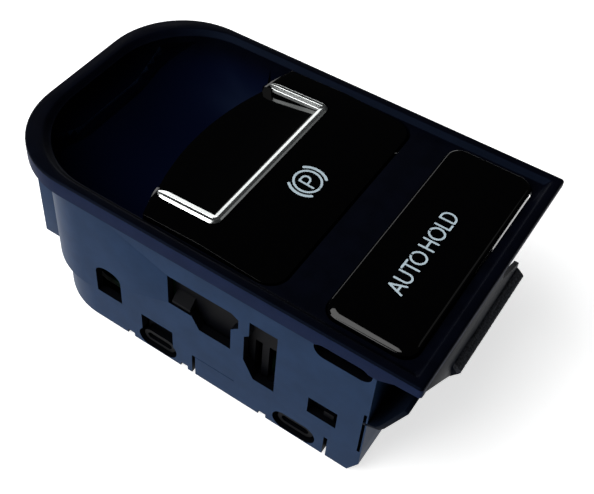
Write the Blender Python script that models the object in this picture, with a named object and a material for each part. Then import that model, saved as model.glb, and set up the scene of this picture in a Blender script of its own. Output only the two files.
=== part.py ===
# Electric parking brake switch for a centre console.
#
# The unit stands on its flat base. +X runs towards the hold button, +Y towards the far side and
# +Z up. The origin is the middle of the base below the middle of the whole unit. All sizes are
# in metres. A value called a drop is measured down from the top of the rim, and every other
# height is measured up from the base.

import math

import bmesh
import bpy
from mathutils import Matrix

# General gaps
FIT = 0.0003                  # gap between pieces that are seated in each other
SNAP_GAP = 0.0005             # gap between the housing and what snaps into it

# Bezel
UNIT_HEIGHT = 0.040           # base to the top of the rim
BEZEL_LENGTH = 0.100
BEZEL_WIDTH = 0.060
BEZEL_CORNER = 0.019          # the two round corners at the finger well
BEZEL_EDGE = 0.0042           # height of the outer edge
BEZEL_END_EDGE = ((0.0050, 0.0026), (0.0, 0.0024))   # from the hold end: place, edge height
RIM_UNDERCUT = (0.0024, 0.0014)   # at the hold end: length, thickness of the rim left
RIM_FRONT = 0.0016            # part of the front edge that keeps its full height
EDGE_ROUND = 0.0006           # rounding along the top of the rim
RIM = 0.00305                 # width of the rim with its inner slope
RIM_WELL = 0.00425            # the same at the finger well's end
RIM_SLOPE = 0.00125           # part of it that slopes down to the panel
PANEL_DROP = 0.0010           # the panel lies below the rim
PANEL = 0.0020                # thickness of the panel

# Housing body under the bezel
BODY_SIDE_SET = 0.0008        # how far the side walls lie inside the bezel's edge
BODY_WELL_SET = 0.0067        # the same at the finger well end
BODY_HOLD_SET = 0.0084        # the same at the hold button end
BODY_CORNER = 0.016
WALL = 0.0018
WALL_FOOT = 0.0009            # lower edge of the walls above the base, at the well end
WALL_FOOT_RISE = 0.0002       # how much higher it lies at the hold end
BODY_STEP_HEIGHT = 0.0100     # the well end steps in below this height
BODY_STEP = 0.0025
BODY_CHAMFER = (0.0022, 0.0042)   # cut off the lower corner at the hold end

# Finger well
WELL_DEPTH = 0.0170
WELL_END_CURVE = 0.0225       # how far the round end runs in before it is flat
WELL_SIDE_CURVE = 0.011
WELL_BACK_CURVE = 0.003
WELL_BACK_CORNER = 0.003
WELL_UNDERCUT = 0.0058        # how far the well runs in under the rocker
WELL_WALL = 0.0016
WELL_STEPS = 7

# Hold button
HOLD_MARGIN = 0.0043          # bezel's end to the button
HOLD_LENGTH = 0.0180
HOLD_INSET = 0.00115          # panel's edge to the button's ends
HOLD_GAP = FIT
HOLD_CORNER = 0.003
HOLD_PROUD = 0.0004           # top of the button above the rim
HOLD_EDGE = 0.0011            # rounding round the top
HOLD_SKIRT_DROP = 0.0034
HOLD_SHELL = 0.0018
HOLD_TRAVEL = 0.0012
HOLD_POST_RADIUS = 0.0011
HOLD_POST_X = 0.0053          # button's inner edge to its posts
HOLD_POST_SET = 0.0069        # carrier's side to the posts
HOLD_STEM_X = 0.0031          # button's inner edge to the switching stem

# Parking rocker
BRIDGE = 0.0094               # panel strip between the rocker and the hold button
ROCKER_LENGTH = 0.0303
ROCKER_INSET = 0.00065        # panel's edge to the rocker's ends
ROCKER_SIDE_GAP = 0.00045
ROCKER_BACK_GAP = 0.0008
ROCKER_BACK_CORNER = 0.004
PADDLE_REACH = 0.0060         # the lip beyond the rocker's front edge
PADDLE_HALF = 0.0208
PADDLE_BOW = 0.0040           # how much the lip's edge curves
ROCKER_CREST = 0.0168         # rocker's back edge to its crest
ROCKER_BACK_DROP = 0.0012
PADDLE_TIP_DROP = 0.0028
CHEEK_DROP = 0.0006           # top of the cheeks beside the paddle at the trim's ends
PADDLE_THICKNESS = 0.0026
ROCKER_SHELL = 0.0020
ROCKER_FRONT_SKIRT_DROP = 0.0052
ROCKER_SKIRT_DROP = 0.0080
ROCKER_EDGE = 0.0005          # rounding of the rocker's edges
DISH_DEPTH = 0.0009           # hollow in the paddle next to the bright trim
DISH_TIP_DROP = 0.0030        # hollow's drop at the lip
PIVOT_X = 0.0083              # rocker's back edge to the pivot
PIVOT_DROP = 0.0070
PULL_DEG = 7.0
PUSH_DEG = 4.0
EAR = 0.0016
EAR_RADIUS = 0.0024
PIN_RADIUS = 0.0009
POST = 0.0011                 # thickness of the carrier's pin posts
POST_WIDTH = 0.0048
PAD_DROP = 0.0090             # lower end of the rocker's pads
PAD_RADIUS = 0.0016
PUSH_PAD_X = 0.0096           # pivot to the pad pressed when the rocker is pushed
PULL_PAD_X = 0.0060           # pivot to the pad pressed when the rocker is pulled
PAD_GAP = 0.0004

# Bright trim
TRIM_WIDTH = 0.0016
TRIM_HALF = 0.0203
TRIM_ARM = 0.0148             # length of each arm, over the crossbar
TRIM_PAST_CREST = -0.0001     # trim's outer edge from the crest
TRIM_CORNER = 0.0016
TRIM_PROUD = 0.0003
TRIM_DEPTH = 0.0009

# Carrier inside the housing
CARRIER_WALL = 0.0015
CARRIER_TOP_DROP = 0.0098
DECK_BELOW_PIVOT = 0.0080     # pivot to the top of the guide deck
DECK = 0.0015
MAT_CHANNEL_HALF = 0.0075
MAT_CHANNEL_HEIGHT = 0.0020
GUIDE_WALL = 0.0010
GUIDE_LENGTH = 0.0050
RAMP_X = (-0.0074, -0.0030)   # ends of the snap ramp, from the main window's anchor
RAMP_HEIGHT = 0.0034
RAMP_NOSE = 0.0008            # upright part of the ramp at its foot
NUB = (0.0022, 0.0016)        # length and height of the nub in the small window
NUB_LIFT = 0.0005             # nub above the small window's lower edge

# Board and what is on it
BOARD_Z = 0.0081
BOARD = 0.0016
BOARD_END_GAP = 0.0015
MAT = 0.0007
MAT_HALF = 0.0065
MAT_MARGIN = 0.0033
DOME_RADIUS = 0.0030
DOME_TOP_RADIUS = 0.0016
DOME_HEIGHT = 0.0011
DOME_GAP = 0.0008
LED_SIZE = 0.0028
LED_HEIGHT = 0.0014
CHIP = (0.0100, 0.0078, 0.0016)
PARKING_GUIDE_X = 0.0008      # symbol's middle, from the pivot towards the well
PARKING_GUIDE_RADIUS = 0.0026
HOLD_GUIDE_X = 0.0080         # legend's middle, from the button's inner edge
HOLD_GUIDE_Y = -0.0038
HOLD_GUIDE_LENGTH = 0.0170
HOLD_GUIDE_WIDTH = 0.0028
GUIDE_COLLAR = 0.0010
GUIDE_TOP_GAP = 0.0030        # guide's end below the underside of its cap

# Springs
SPRING_RADIUS = 0.0019
SPRING_WIRE = 0.0005
SPRING_TURNS = 4
SPRING_Y = 0.0120

# Connector
PIN_COUNT = 6
PIN_PITCH = 0.0032
PIN_SIZE = 0.00064
SOCKET_SET = 0.0198           # body's well end to the middle of the socket
SOCKET_LENGTH = 0.0240
SOCKET_WIDTH = 0.0126
SOCKET_WALL = 0.0012
HEADER = 0.0018
PIN_END = 0.0022              # lower ends of the pins above the base

# Bottom cover
COVER = 0.0015
COVER_POST_RADIUS = 0.0022
COVER_TAB = 0.0014
SNAP_WIDTHS = 0.0082          # pill-shaped snap tabs
SNAP_HEIGHT = 0.0036
SNAP_Z = 0.0038               # middle of the tabs
SNAP_XS = (-0.0076, 0.0267)
SNAP_SLOT = 0.0009            # room round a tab
SNAP_DEPTH = 0.0016           # how far a tab stands out of its arm

# Openings in the side walls. Outlines are relative to an anchor, which is X and a drop.
MAIN_WINDOW_X = 0.0040
MAIN_WINDOW_DROP = 0.0106
MAIN_WINDOW_STEP = -0.0086    # lower edge of the window's shallow part
MAIN_WINDOW = ((-0.0082, 0.0), (0.0070, 0.0), (0.0087, -0.0010), (0.0087, -0.0036),
               (0.0070, -0.0052), (0.0070, -0.0118), (-0.0006, -0.0118),
               (-0.0024, MAIN_WINDOW_STEP), (-0.0082, MAIN_WINDOW_STEP))
HEX_WINDOW_X = 0.0178
HEX_WINDOW_DROP = 0.0102
HEX_WINDOW = ((-0.0026, 0.0), (0.0037, 0.0), (0.0037, -0.0178), (-0.0012, -0.0178),
              (-0.0037, -0.0130), (-0.0037, -0.0054), (-0.0026, -0.0044))
VENT_SET = 0.0068             # body's hold end to the middle of the vent
VENT_LENGTH = 0.0120
VENT_DROP = 0.0057
VENT_WIDTH = 0.0046
ARCH_X = -0.0203
ARCH_WIDTH = 0.0067
ARCH_DROP = 0.0210
ARCH_HEIGHT = 0.0088
SMALL_WINDOW_SET = 0.0092     # body's hold end to the middle of the small window
SMALL_WINDOW_WIDTH = 0.0064
SMALL_WINDOW_Z = 0.0174       # its upper edge
SMALL_WINDOW_HEIGHT = 0.0050
SNAP_WINDOW_HEIGHT = 0.0044   # open part above the first snap tab
END_SLIT_DROP = 0.0175
END_SLIT_LOW = 0.0094
END_SLIT = 0.0006
END_SLIT_SET = 0.0006         # body's hold end to the middle of the slit
SLIT = 0.0008
SLIT_HEIGHT = 0.0062
SLIT_X = 0.0019
SLIT_SET = 0.0076             # body's hold end to the second slit
NOTCH_XS = (-0.0150, -0.0006, 0.0192)
NOTCH_WIDTH = 0.0018
NOTCH_DEPTH = 0.0010

# Locating ribs, end lug and felt
RIB = 0.0016
RIB_Y = 0.0195
RIB_REACH = 0.0042
RIB_LOWER_Z = 0.0055
LUG = 0.0010                  # thickness of the lug under the bezel's end
LUG_SET = 0.0002              # lug's face inside the bezel's end
LUG_OUTLINE = ((-0.0288, 0.0012), (-0.0286, 0.0026), (-0.0177, 0.0122), (-0.0138, 0.0158),
               (0.0138, 0.0158), (0.0138, 0.0101), (0.0126, 0.0096), (0.0040, 0.0052),
               (0.0026, 0.0012))            # Y and drop
LEDGE = ((-0.0007, 0.0129), (0.0, 0.0129), (0.0012, 0.0142), (-0.0004, 0.0164),
         (-0.0007, 0.0160))                 # from the lug's face, and drop
LEDGE_HALF = 0.0138
APRON = 0.0009                # thickness of the apron that rises from the end wall
APRON_LINE = ((-0.0013, 0.0097), (-0.0049, 0.0183), (-0.0058, 0.0197), (-0.0090, 0.0210))
FELT_SLOPE = (0.0018, 0.0016)               # felt's width across its face, as X and drop
FELT = 0.0014                 # its height at the lug

# Places that follow from the sizes
TOP = UNIT_HEIGHT
PANEL_Z = TOP - PANEL_DROP
PANEL_UNDER = PANEL_Z - PANEL
BEZEL_X0 = -BEZEL_LENGTH / 2
BEZEL_X1 = BEZEL_LENGTH / 2
BEZEL_Y = BEZEL_WIDTH / 2
PANEL_X0 = BEZEL_X0 + RIM_WELL
PANEL_Y = BEZEL_Y - RIM
BODY_X0 = BEZEL_X0 + BODY_WELL_SET
BODY_X1 = BEZEL_X1 - BODY_HOLD_SET
BODY_Y = BEZEL_Y - BODY_SIDE_SET
INNER_X0 = BODY_X0 + WALL
INNER_X1 = BODY_X1 - WALL
INNER_Y = BODY_Y - WALL
VENT_X = BODY_X1 - VENT_SET
SMALL_WINDOW_X = BODY_X1 - SMALL_WINDOW_SET
SLIT_XS = (SLIT_X, BODY_X1 - SLIT_SET)
SOCKET_X = BODY_X0 + SOCKET_SET
CHIP_X = SOCKET_X

HOLD_X1 = BEZEL_X1 - HOLD_MARGIN
HOLD_X0 = HOLD_X1 - HOLD_LENGTH
HOLD_Y = PANEL_Y - HOLD_INSET
HOLD_TOP = TOP + HOLD_PROUD
HOLD_UNDER = HOLD_TOP - HOLD_SHELL
HOLD_SKIRT_Z = TOP - HOLD_SKIRT_DROP

ROCKER_X1 = HOLD_X0 - BRIDGE
ROCKER_X0 = ROCKER_X1 - ROCKER_LENGTH
ROCKER_Y = PANEL_Y - ROCKER_INSET
CREST_X = ROCKER_X1 - ROCKER_CREST
TRIM_X1 = CREST_X + TRIM_PAST_CREST
TRIM_X0 = TRIM_X1 - TRIM_ARM
PADDLE_X = ROCKER_X0 - PADDLE_REACH
PIVOT = (ROCKER_X1 - PIVOT_X, 0.0, TOP - PIVOT_DROP)
EAR_HALF = ROCKER_Y - ROCKER_SHELL - POST - 2 * FIT      # outer face of the rocker's ears
PIN_LENGTH = EAR + POST + 2 * FIT
PAD_Z = TOP - PAD_DROP
PUSH_X = PIVOT[0] - PUSH_PAD_X
PULL_X = PIVOT[0] + PULL_PAD_X
WELL_X1 = ROCKER_X0 + WELL_UNDERCUT

CARRIER_X0 = WELL_X1 + WELL_WALL + SNAP_GAP
CARRIER_X1 = INNER_X1 - SNAP_GAP
CARRIER_Y = INNER_Y - SNAP_GAP
CARRIER_TOP = TOP - CARRIER_TOP_DROP
HOLD_POST_Y = CARRIER_Y - HOLD_POST_SET
DECK_TOP = PIVOT[2] - DECK_BELOW_PIVOT
BOARD_TOP = BOARD_Z + BOARD
CARRIER_FOOT = BOARD_TOP + FIT
MAT_TOP = BOARD_TOP + FIT + MAT
DOME_TOP = MAT_TOP + DOME_HEIGHT
STEM_X = HOLD_X0 + HOLD_STEM_X
POST_X = HOLD_X0 + HOLD_POST_X
PARKING_GUIDE = (PIVOT[0] - PARKING_GUIDE_X, 0.0)
HOLD_GUIDE = (HOLD_X0 + HOLD_GUIDE_X, HOLD_GUIDE_Y)
GUIDE_FOOT = BOARD_TOP + FIT + LED_HEIGHT + FIT

LUG_X = BEZEL_X1 - LUG_SET
FELT_X = LUG_X + FELT_SLOPE[0]
MIDDLE_X = (BEZEL_X0 + FELT_X) / 2      # middle of the whole unit


def circle(radius, sides, centre=(0.0, 0.0)):
    points = []
    for step in range(sides):
        angle = 2 * math.pi * (step + 0.5) / sides
        points.append((centre[0] + radius * math.cos(angle), centre[1] + radius * math.sin(angle)))
    return points


def rounded(x0, x1, y0, y1, radii, steps=5):
    """Outline of a rectangle whose corner radii start at (x0, y0) and run anticlockwise."""
    corners = ((x0, y0, 1, 1, 180), (x1, y0, -1, 1, 270), (x1, y1, -1, -1, 0), (x0, y1, 1, -1, 90))
    points = []
    for (x, y, inward_x, inward_y, start), radius in zip(corners, radii):
        if radius == 0:
            points.append((x, y))
            continue
        for step in range(steps + 1):
            angle = math.radians(start + 90 * step / steps)
            points.append((x + inward_x * radius + radius * math.cos(angle),
                           y + inward_y * radius + radius * math.sin(angle)))
    return points


def in_space(plane, u, v, w):
    """Turns a point (u, v) of an outline at height w into a point in space."""
    if plane == "xy":
        return (u, v, w)
    if plane == "xz":
        return (u, w, v)
    return (w, u, v)


def loft(rings):
    """A closed solid through rings that all have the same number of points."""
    bm = bmesh.new()
    rows = [[bm.verts.new(point) for point in ring] for ring in rings]
    bm.faces.new(rows[0])
    bm.faces.new(rows[-1])
    for lower, upper in zip(rows, rows[1:]):
        for i in range(len(lower)):
            j = (i + 1) % len(lower)
            bm.faces.new((lower[i], lower[j], upper[j], upper[i]))
    bmesh.ops.recalc_face_normals(bm, faces=bm.faces)
    mesh = bpy.data.meshes.new("shape")
    bm.to_mesh(mesh)
    bm.free()
    shape = bpy.data.objects.new("shape", mesh)
    bpy.context.collection.objects.link(shape)
    return shape


def prism(outline, low, high, plane="xy"):
    return loft([[in_space(plane, u, v, w) for u, v in outline] for w in (low, high)])


def box(x0, x1, y0, y1, z0, z1):
    return prism(((x0, y0), (x1, y0), (x1, y1), (x0, y1)), z0, z1)


def cylinder(x, y, radius, z0, z1, sides=16):
    return prism(circle(radius, sides, (x, y)), z0, z1)


def combine(target, tools, operation):
    """Applies each tool to the target with an exact Boolean and removes the tool."""
    for tool in tools:
        step = target.modifiers.new("step", "BOOLEAN")
        step.solver = "EXACT"
        step.operation = operation
        step.object = tool
        depsgraph = bpy.context.evaluated_depsgraph_get()
        result = bpy.data.meshes.new_from_object(target.evaluated_get(depsgraph))
        old = target.data
        target.modifiers.clear()
        target.data = result
        bpy.data.meshes.remove(old)
        bpy.data.objects.remove(tool)
    return target


def add(target, *tools):
    return combine(target, tools, "UNION")


def cut(target, *tools):
    return combine(target, tools, "DIFFERENCE")


def common(target, tool):
    return combine(target, (tool,), "INTERSECT")


def material(name, colour, roughness, metallic=0.0, alpha=1.0):
    made = bpy.data.materials.new(name)
    made.use_nodes = True
    shader = made.node_tree.nodes["Principled BSDF"]
    shader.inputs["Base Color"].default_value = (*colour, 1.0)
    shader.inputs["Roughness"].default_value = roughness
    shader.inputs["Metallic"].default_value = metallic
    shader.inputs["Alpha"].default_value = alpha
    return made


def finish(shape, name, finish_material, parent, smooth_deg=30):
    """Names the solid, gives it its material and puts its origin on its parent's axis."""
    shape.name = name
    shape.data.name = name
    shape.data.materials.clear()
    shape.data.materials.append(finish_material)
    origin = parent.matrix_local.translation if parent.parent else parent.location * 0
    shape.data.transform(Matrix.Translation(-origin))
    shape.data.shade_smooth()
    shape.data.set_sharp_from_angle(angle=math.radians(smooth_deg))
    shape.parent = parent
    return shape


def axis_empty(name, place, parent=None):
    empty = bpy.data.objects.new(name, None)
    empty.location = place
    empty.parent = parent
    bpy.context.collection.objects.link(empty)
    return empty


def bezel_plate():
    """The bezel's plate, with a small rounding along its top edge."""
    rings = []
    levels = [(0.0, TOP - BEZEL_EDGE)]
    for degrees in (0, 45, 90):
        angle = math.radians(degrees)
        levels.append((EDGE_ROUND * (1 - math.cos(angle)), TOP - EDGE_ROUND * (1 - math.sin(angle))))
    for inset, z in levels:
        corner = BEZEL_CORNER - inset
        outline = rounded(BEZEL_X0 + inset, BEZEL_X1 - inset, -BEZEL_Y + inset, BEZEL_Y - inset,
                          (corner, EDGE_ROUND - inset / 2, EDGE_ROUND - inset / 2, corner), 8)
        rings.append([(x, y, z) for x, y in outline])
    return loft(rings)


def panel_cutter():
    """Cutter for the sunk panel, with the rim's inner slope round it."""
    rings = []
    for out, z in ((0.0, PANEL_Z), (RIM_SLOPE, TOP), (RIM_SLOPE, TOP + WALL)):
        outline = rounded(PANEL_X0 - out, BEZEL_X1 - RIM + out, -PANEL_Y - out, PANEL_Y + out,
                          (BEZEL_CORNER, 0, 0, BEZEL_CORNER), 8)
        rings.append([(x, y, z) for x, y in outline])
    return loft(rings)


def body_outline(inset, step=0.0):
    corner = BODY_CORNER - inset
    return rounded(BODY_X0 + inset + step, BODY_X1 - inset, -BODY_Y + inset, BODY_Y - inset,
                   (corner, 0, 0, corner), 6)


def wall_foot(x):
    """Height of the side walls' lower edge, which rises in steps at the notches."""
    share = sum(1 for notch in NOTCH_XS if x > notch) / len(NOTCH_XS)
    return WALL_FOOT + WALL_FOOT_RISE * share


def body_walls():
    """The walls under the bezel, open below."""
    walls = prism(body_outline(0), BODY_STEP_HEIGHT, PANEL_Z - PANEL / 2)
    add(walls, prism(body_outline(0, BODY_STEP), WALL_FOOT, BODY_STEP_HEIGHT + WALL))
    cut(walls, prism(body_outline(WALL), BODY_STEP_HEIGHT + WALL, PANEL_UNDER))
    cut(walls, prism(body_outline(WALL, BODY_STEP), -WALL, BODY_STEP_HEIGHT + 2 * WALL))
    return walls


def well_rings(skin):
    """Rings of the finger well's surface, or of its outside when skin is its wall thickness."""
    top_z = PANEL_Z - PANEL / 2 if skin else TOP + WALL
    rings = []
    for step in range(WELL_STEPS + 1):
        angle = math.radians(90 * step / WELL_STEPS)
        run_in = 1 - math.cos(angle)
        out = skin * math.cos(angle)
        half = PANEL_Y - WELL_SIDE_CURVE * run_in + out
        corner = BEZEL_CORNER * (1 - 0.25 * run_in) + out
        back_corner = WELL_BACK_CORNER * (1 + run_in) + out
        outline = rounded(PANEL_X0 + WELL_END_CURVE * run_in - out,
                          WELL_X1 - WELL_BACK_CURVE * run_in + out, -half, half,
                          (corner, back_corner, back_corner, corner), 6)
        z = TOP - (WELL_DEPTH + skin) * math.sin(angle)
        if step == 0:
            rings.append([(x, y, top_z) for x, y in outline])
        if z < top_z - FIT:
            rings.append([(x, y, z) for x, y in outline])
    return rings


def window(outline, anchor_x, anchor_z, side):
    """Cutter for an opening in the side wall at -Y or +Y; outline is relative to the anchor."""
    points = [(anchor_x + x, anchor_z + z) for x, z in outline]
    near = side * (INNER_Y - SNAP_GAP / 2)
    far = side * (BODY_Y + WALL)
    return prism(points, near, far, "xz")


def rectangle(width, height):
    """Outline hanging from its anchor, centred on it."""
    return ((-width / 2, 0), (width / 2, 0), (width / 2, -height), (-width / 2, -height))


def arch(width, height):
    points = [(width / 2, -height), (width / 2, -width / 3)]
    for step in range(1, 6):
        angle = math.pi * step / 6
        points.append((width / 2 * math.cos(angle), -width / 3 + width / 3 * math.sin(angle)))
    return points + [(-width / 2, -width / 3), (-width / 2, -height)]


def pill(length, width, steps=5):
    """Outline of a slot with round ends, centred on its anchor."""
    radius = width / 2
    return rounded(-length / 2, length / 2, -radius, radius, (radius,) * 4, steps)


def side_cutters(side):
    """All openings, slits and notches of one side wall."""
    cutters = [
        window(MAIN_WINDOW, MAIN_WINDOW_X, TOP - MAIN_WINDOW_DROP, side),
        window(HEX_WINDOW, HEX_WINDOW_X, TOP - HEX_WINDOW_DROP, side),
        window(pill(VENT_LENGTH, VENT_WIDTH), VENT_X, TOP - VENT_DROP, side),
        window(arch(ARCH_WIDTH, ARCH_HEIGHT), ARCH_X, TOP - ARCH_DROP, side),
        window(rectangle(SMALL_WINDOW_WIDTH, SMALL_WINDOW_HEIGHT), SMALL_WINDOW_X,
               SMALL_WINDOW_Z, side),
        window(rectangle(END_SLIT, TOP - END_SLIT_DROP - END_SLIT_LOW), BODY_X1 - END_SLIT_SET,
               TOP - END_SLIT_DROP, side),
    ]
    room = 2 * SNAP_SLOT
    snap_top = SNAP_Z + (SNAP_HEIGHT + room) / 2
    for x in SNAP_XS:
        cutters.append(window(pill(SNAP_WIDTHS + room, SNAP_HEIGHT + room), x, SNAP_Z, side))
    cutters.append(window(rectangle(SNAP_WIDTHS, SNAP_WINDOW_HEIGHT + room), SNAP_XS[0],
                          snap_top + SNAP_WINDOW_HEIGHT, side))
    for x in SLIT_XS:
        slit_top = wall_foot(x) + SLIT_HEIGHT
        cutters.append(window(rectangle(SLIT, SLIT_HEIGHT + WALL), x, slit_top, side))
    for x in NOTCH_XS:
        cutters.append(window(rectangle(NOTCH_WIDTH, NOTCH_DEPTH + WALL), x,
                              wall_foot(x) + NOTCH_DEPTH, side))
    return cutters


def foot_cutters():
    """Strips that lower the walls' edge in steps, and the chamfer at the hold end."""
    cutters = []
    edges = NOTCH_XS + (BODY_X1 + WALL,)
    for x0, x1 in zip(edges, edges[1:]):
        foot = wall_foot((x0 + x1) / 2)
        cutters.append(box(x0, x1, -BEZEL_Y, BEZEL_Y, -WALL, foot))
    reach_x, reach_z = BODY_CHAMFER
    foot = WALL_FOOT
    corner = ((BODY_X1 - reach_x, foot), (BODY_X1 + WALL, foot - WALL),
              (BODY_X1 + WALL, foot + reach_z * (1 + WALL / reach_x)))
    cutters.append(prism(corner, -BEZEL_Y, BEZEL_Y, "xz"))
    return cutters


def end_edge():
    """Cutter that thins the bezel's edge towards the hold end."""
    low = TOP - BEZEL_EDGE - WALL
    points = [(BODY_X1, low), (BODY_X1, TOP - BEZEL_EDGE)]
    points += [(BEZEL_X1 - back, TOP - height) for back, height in BEZEL_END_EDGE]
    last_z = points[-1][1]
    return prism(points + [(BEZEL_X1 + WALL, last_z), (BEZEL_X1 + WALL, low)], -BEZEL_Y - WALL,
                 BEZEL_Y + WALL, "xz")


def rim_undercut():
    """Cutter that thins the rim along the bezel's end."""
    length, left = RIM_UNDERCUT
    return box(BEZEL_X1 - length, BEZEL_X1 + WALL, -BEZEL_Y + RIM_FRONT, BEZEL_Y + WALL,
               TOP - BEZEL_EDGE, TOP - left)


def end_lug():
    """The lug under the bezel's end with its ledge for the felt, and the apron below it."""
    plate = prism([(y, TOP - drop) for y, drop in LUG_OUTLINE], LUG_X - LUG, LUG_X, "yz")
    ledge = prism([(LUG_X + x, TOP - drop) for x, drop in LEDGE], -LEDGE_HALF, LEDGE_HALF, "xz")
    line = [(LUG_X + x, TOP - drop) for x, drop in APRON_LINE]
    line[-1] = (BODY_X1 - WALL / 2, line[-1][1])
    inner = [(x - APRON, z + APRON / 3) for x, z in line]
    inner[-1] = (line[-1][0], line[-1][1] + APRON)
    apron = prism(line + inner[::-1], -BODY_Y, LEDGE_HALF, "xz")
    return plate, ledge, apron


def rocker_room_drop():
    """How deep the front of the rocker dips when it is pushed, with its clearance."""
    dip = (PIVOT[0] - ROCKER_X0) * math.sin(math.radians(PUSH_DEG))
    return ROCKER_FRONT_SKIRT_DROP + dip + ROCKER_SIDE_GAP


def make_housing(parent, plastic):
    housing = bezel_plate()
    add(housing, body_walls())
    cut(housing, prism(body_outline(WALL), TOP - BEZEL_EDGE - WALL, PANEL_UNDER))
    cut(housing, end_edge(), rim_undercut())
    add(housing, loft(well_rings(WELL_WALL)))
    for side in (-1, 1):
        add(housing, box(BODY_X0 - RIB_REACH, BODY_X0 + BODY_CORNER / 3, side * RIB_Y - RIB / 2,
                         side * RIB_Y + RIB / 2, RIB_LOWER_Z, TOP - BEZEL_EDGE / 2))
    add(housing, *end_lug())

    cut(housing, panel_cutter())
    cut(housing, loft(well_rings(0)))
    rocker_y = ROCKER_Y + ROCKER_SIDE_GAP
    rocker_corner = ROCKER_BACK_CORNER + ROCKER_SIDE_GAP
    room = rounded(PADDLE_X, ROCKER_X1 + ROCKER_BACK_GAP, -rocker_y, rocker_y,
                   (0, rocker_corner, rocker_corner, 0))
    cut(housing, prism(room, TOP - rocker_room_drop(), TOP + WALL))
    hold_y = HOLD_Y + HOLD_GAP
    hold_corner = HOLD_CORNER + HOLD_GAP
    hold = rounded(HOLD_X0 - HOLD_GAP, HOLD_X1 + HOLD_GAP, -hold_y, hold_y, (hold_corner,) * 4)
    cut(housing, prism(hold, HOLD_SKIRT_Z - HOLD_TRAVEL - HOLD_GAP, TOP + WALL))
    for side in (-1, 1):
        cut(housing, *side_cutters(side))
    cut(housing, *foot_cutters())
    return finish(housing, "housing", plastic, parent)


def rocker_top(lift):
    """Height of the rocker's top along X: back edge, crest, end of the cheeks and lip."""
    return ((ROCKER_X1, TOP - ROCKER_BACK_DROP + lift), (CREST_X, TOP + lift),
            (TRIM_X0, TOP - CHEEK_DROP + lift), (PADDLE_X, TOP - PADDLE_TIP_DROP + lift))


def inside_slab(x):
    """A height inside the rocker's top wall at x, which lies below the trim in front."""
    if x > CREST_X:
        drop = ROCKER_BACK_DROP * (x - CREST_X) / ROCKER_CREST
        return TOP - drop - ROCKER_SHELL / 2
    return TOP - (ROCKER_SHELL + TRIM_DEPTH + FIT) / 2


def rocker_plan():
    """The rocker seen from above, with its bowed lip."""
    points = rounded(ROCKER_X0, ROCKER_X1, -ROCKER_Y, ROCKER_Y,
                     (0, ROCKER_BACK_CORNER, ROCKER_BACK_CORNER, 0))
    steps = 10
    lip = []
    for step in range(steps + 1):
        y = PADDLE_HALF * (1 - 2 * step / steps)
        lip.append((PADDLE_X + PADDLE_BOW * (y / PADDLE_HALF) ** 2, y))
    return points + [(ROCKER_X0, PADDLE_HALF)] + lip + [(ROCKER_X0, -PADDLE_HALF)]


def make_rocker(parent, gloss):
    top = rocker_top(0)
    back_x, back_z = top[0]
    tip_x, tip_z = top[-1]
    skirt_z = TOP - ROCKER_SKIRT_DROP
    front_z = TOP - ROCKER_FRONT_SKIRT_DROP
    inner_x = WELL_X1 + WELL_WALL + PADDLE_THICKNESS / 2
    profile = list(top) + [(tip_x, tip_z - PADDLE_THICKNESS / 2),
                           (tip_x + PADDLE_THICKNESS / 2, tip_z - PADDLE_THICKNESS),
                           (ROCKER_X0, front_z), (inner_x, front_z), (inner_x, skirt_z),
                           (back_x, skirt_z)]
    rocker = prism(profile, -ROCKER_Y, ROCKER_Y, "xz")
    common(rocker, prism(rocker_plan(), skirt_z - WALL, TOP + WALL))
    bevel = rocker.modifiers.new("edges", "BEVEL")
    bevel.width = ROCKER_EDGE
    bevel.segments = 2
    bevel.limit_method = "ANGLE"
    bevel.angle_limit = math.radians(35)

    shell = ROCKER_SHELL
    slope = ROCKER_BACK_DROP / ROCKER_CREST
    hollow = ((back_x - shell, back_z + slope * shell - shell), (CREST_X, TOP - shell),
              (ROCKER_X0 + shell, TOP - shell - PADDLE_TIP_DROP / 2),
              (ROCKER_X0 + shell, skirt_z - WALL), (back_x - shell, skirt_z - WALL))
    cut(rocker, prism(hollow, -ROCKER_Y + shell, ROCKER_Y - shell, "xz"))
    bar_x = TRIM_X1 - TRIM_WIDTH
    dish_half = TRIM_HALF - TRIM_WIDTH
    dish_end = PADDLE_X - WALL
    slope = (DISH_TIP_DROP - DISH_DEPTH) / (bar_x - PADDLE_X)
    dish = ((bar_x, TOP + WALL), (bar_x, TOP - DISH_DEPTH),
            (dish_end, TOP - DISH_TIP_DROP - slope * WALL), (dish_end, TOP + WALL))
    cut(rocker, prism(dish, -dish_half, dish_half, "xz"))
    cut(rocker, trim_solid(FIT))

    for side in (-1, 1):
        outer = side * EAR_HALF
        inner = side * (EAR_HALF - EAR)
        ear_x0 = PIVOT[0] - EAR_RADIUS
        ear_x1 = PIVOT[0] + EAR_RADIUS
        ear = prism(((ear_x0, PIVOT[2]), (ear_x0, inside_slab(ear_x0)),
                     (ear_x1, inside_slab(ear_x1)), (ear_x1, PIVOT[2])), inner, outer, "xz")
        add(ear, prism(circle(EAR_RADIUS, 16, (PIVOT[0], PIVOT[2])), inner, outer, "xz"))
        cut(ear, prism(circle(PIN_RADIUS + FIT, 16, (PIVOT[0], PIVOT[2])), inner - side * WALL,
                       outer + side * WALL, "xz"))
        add(rocker, ear)
    for x in (PUSH_X, PULL_X):
        add(rocker, cylinder(x, 0.0, PAD_RADIUS, PAD_Z, inside_slab(x), 12))
        for y in (-SPRING_Y, SPRING_Y):
            seat_radius = SPRING_RADIUS + SPRING_WIRE
            add(rocker, cylinder(x, y, seat_radius, PAD_Z, inside_slab(x), 12))
    return finish(rocker, "parking_rocker", gloss, parent)


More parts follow.
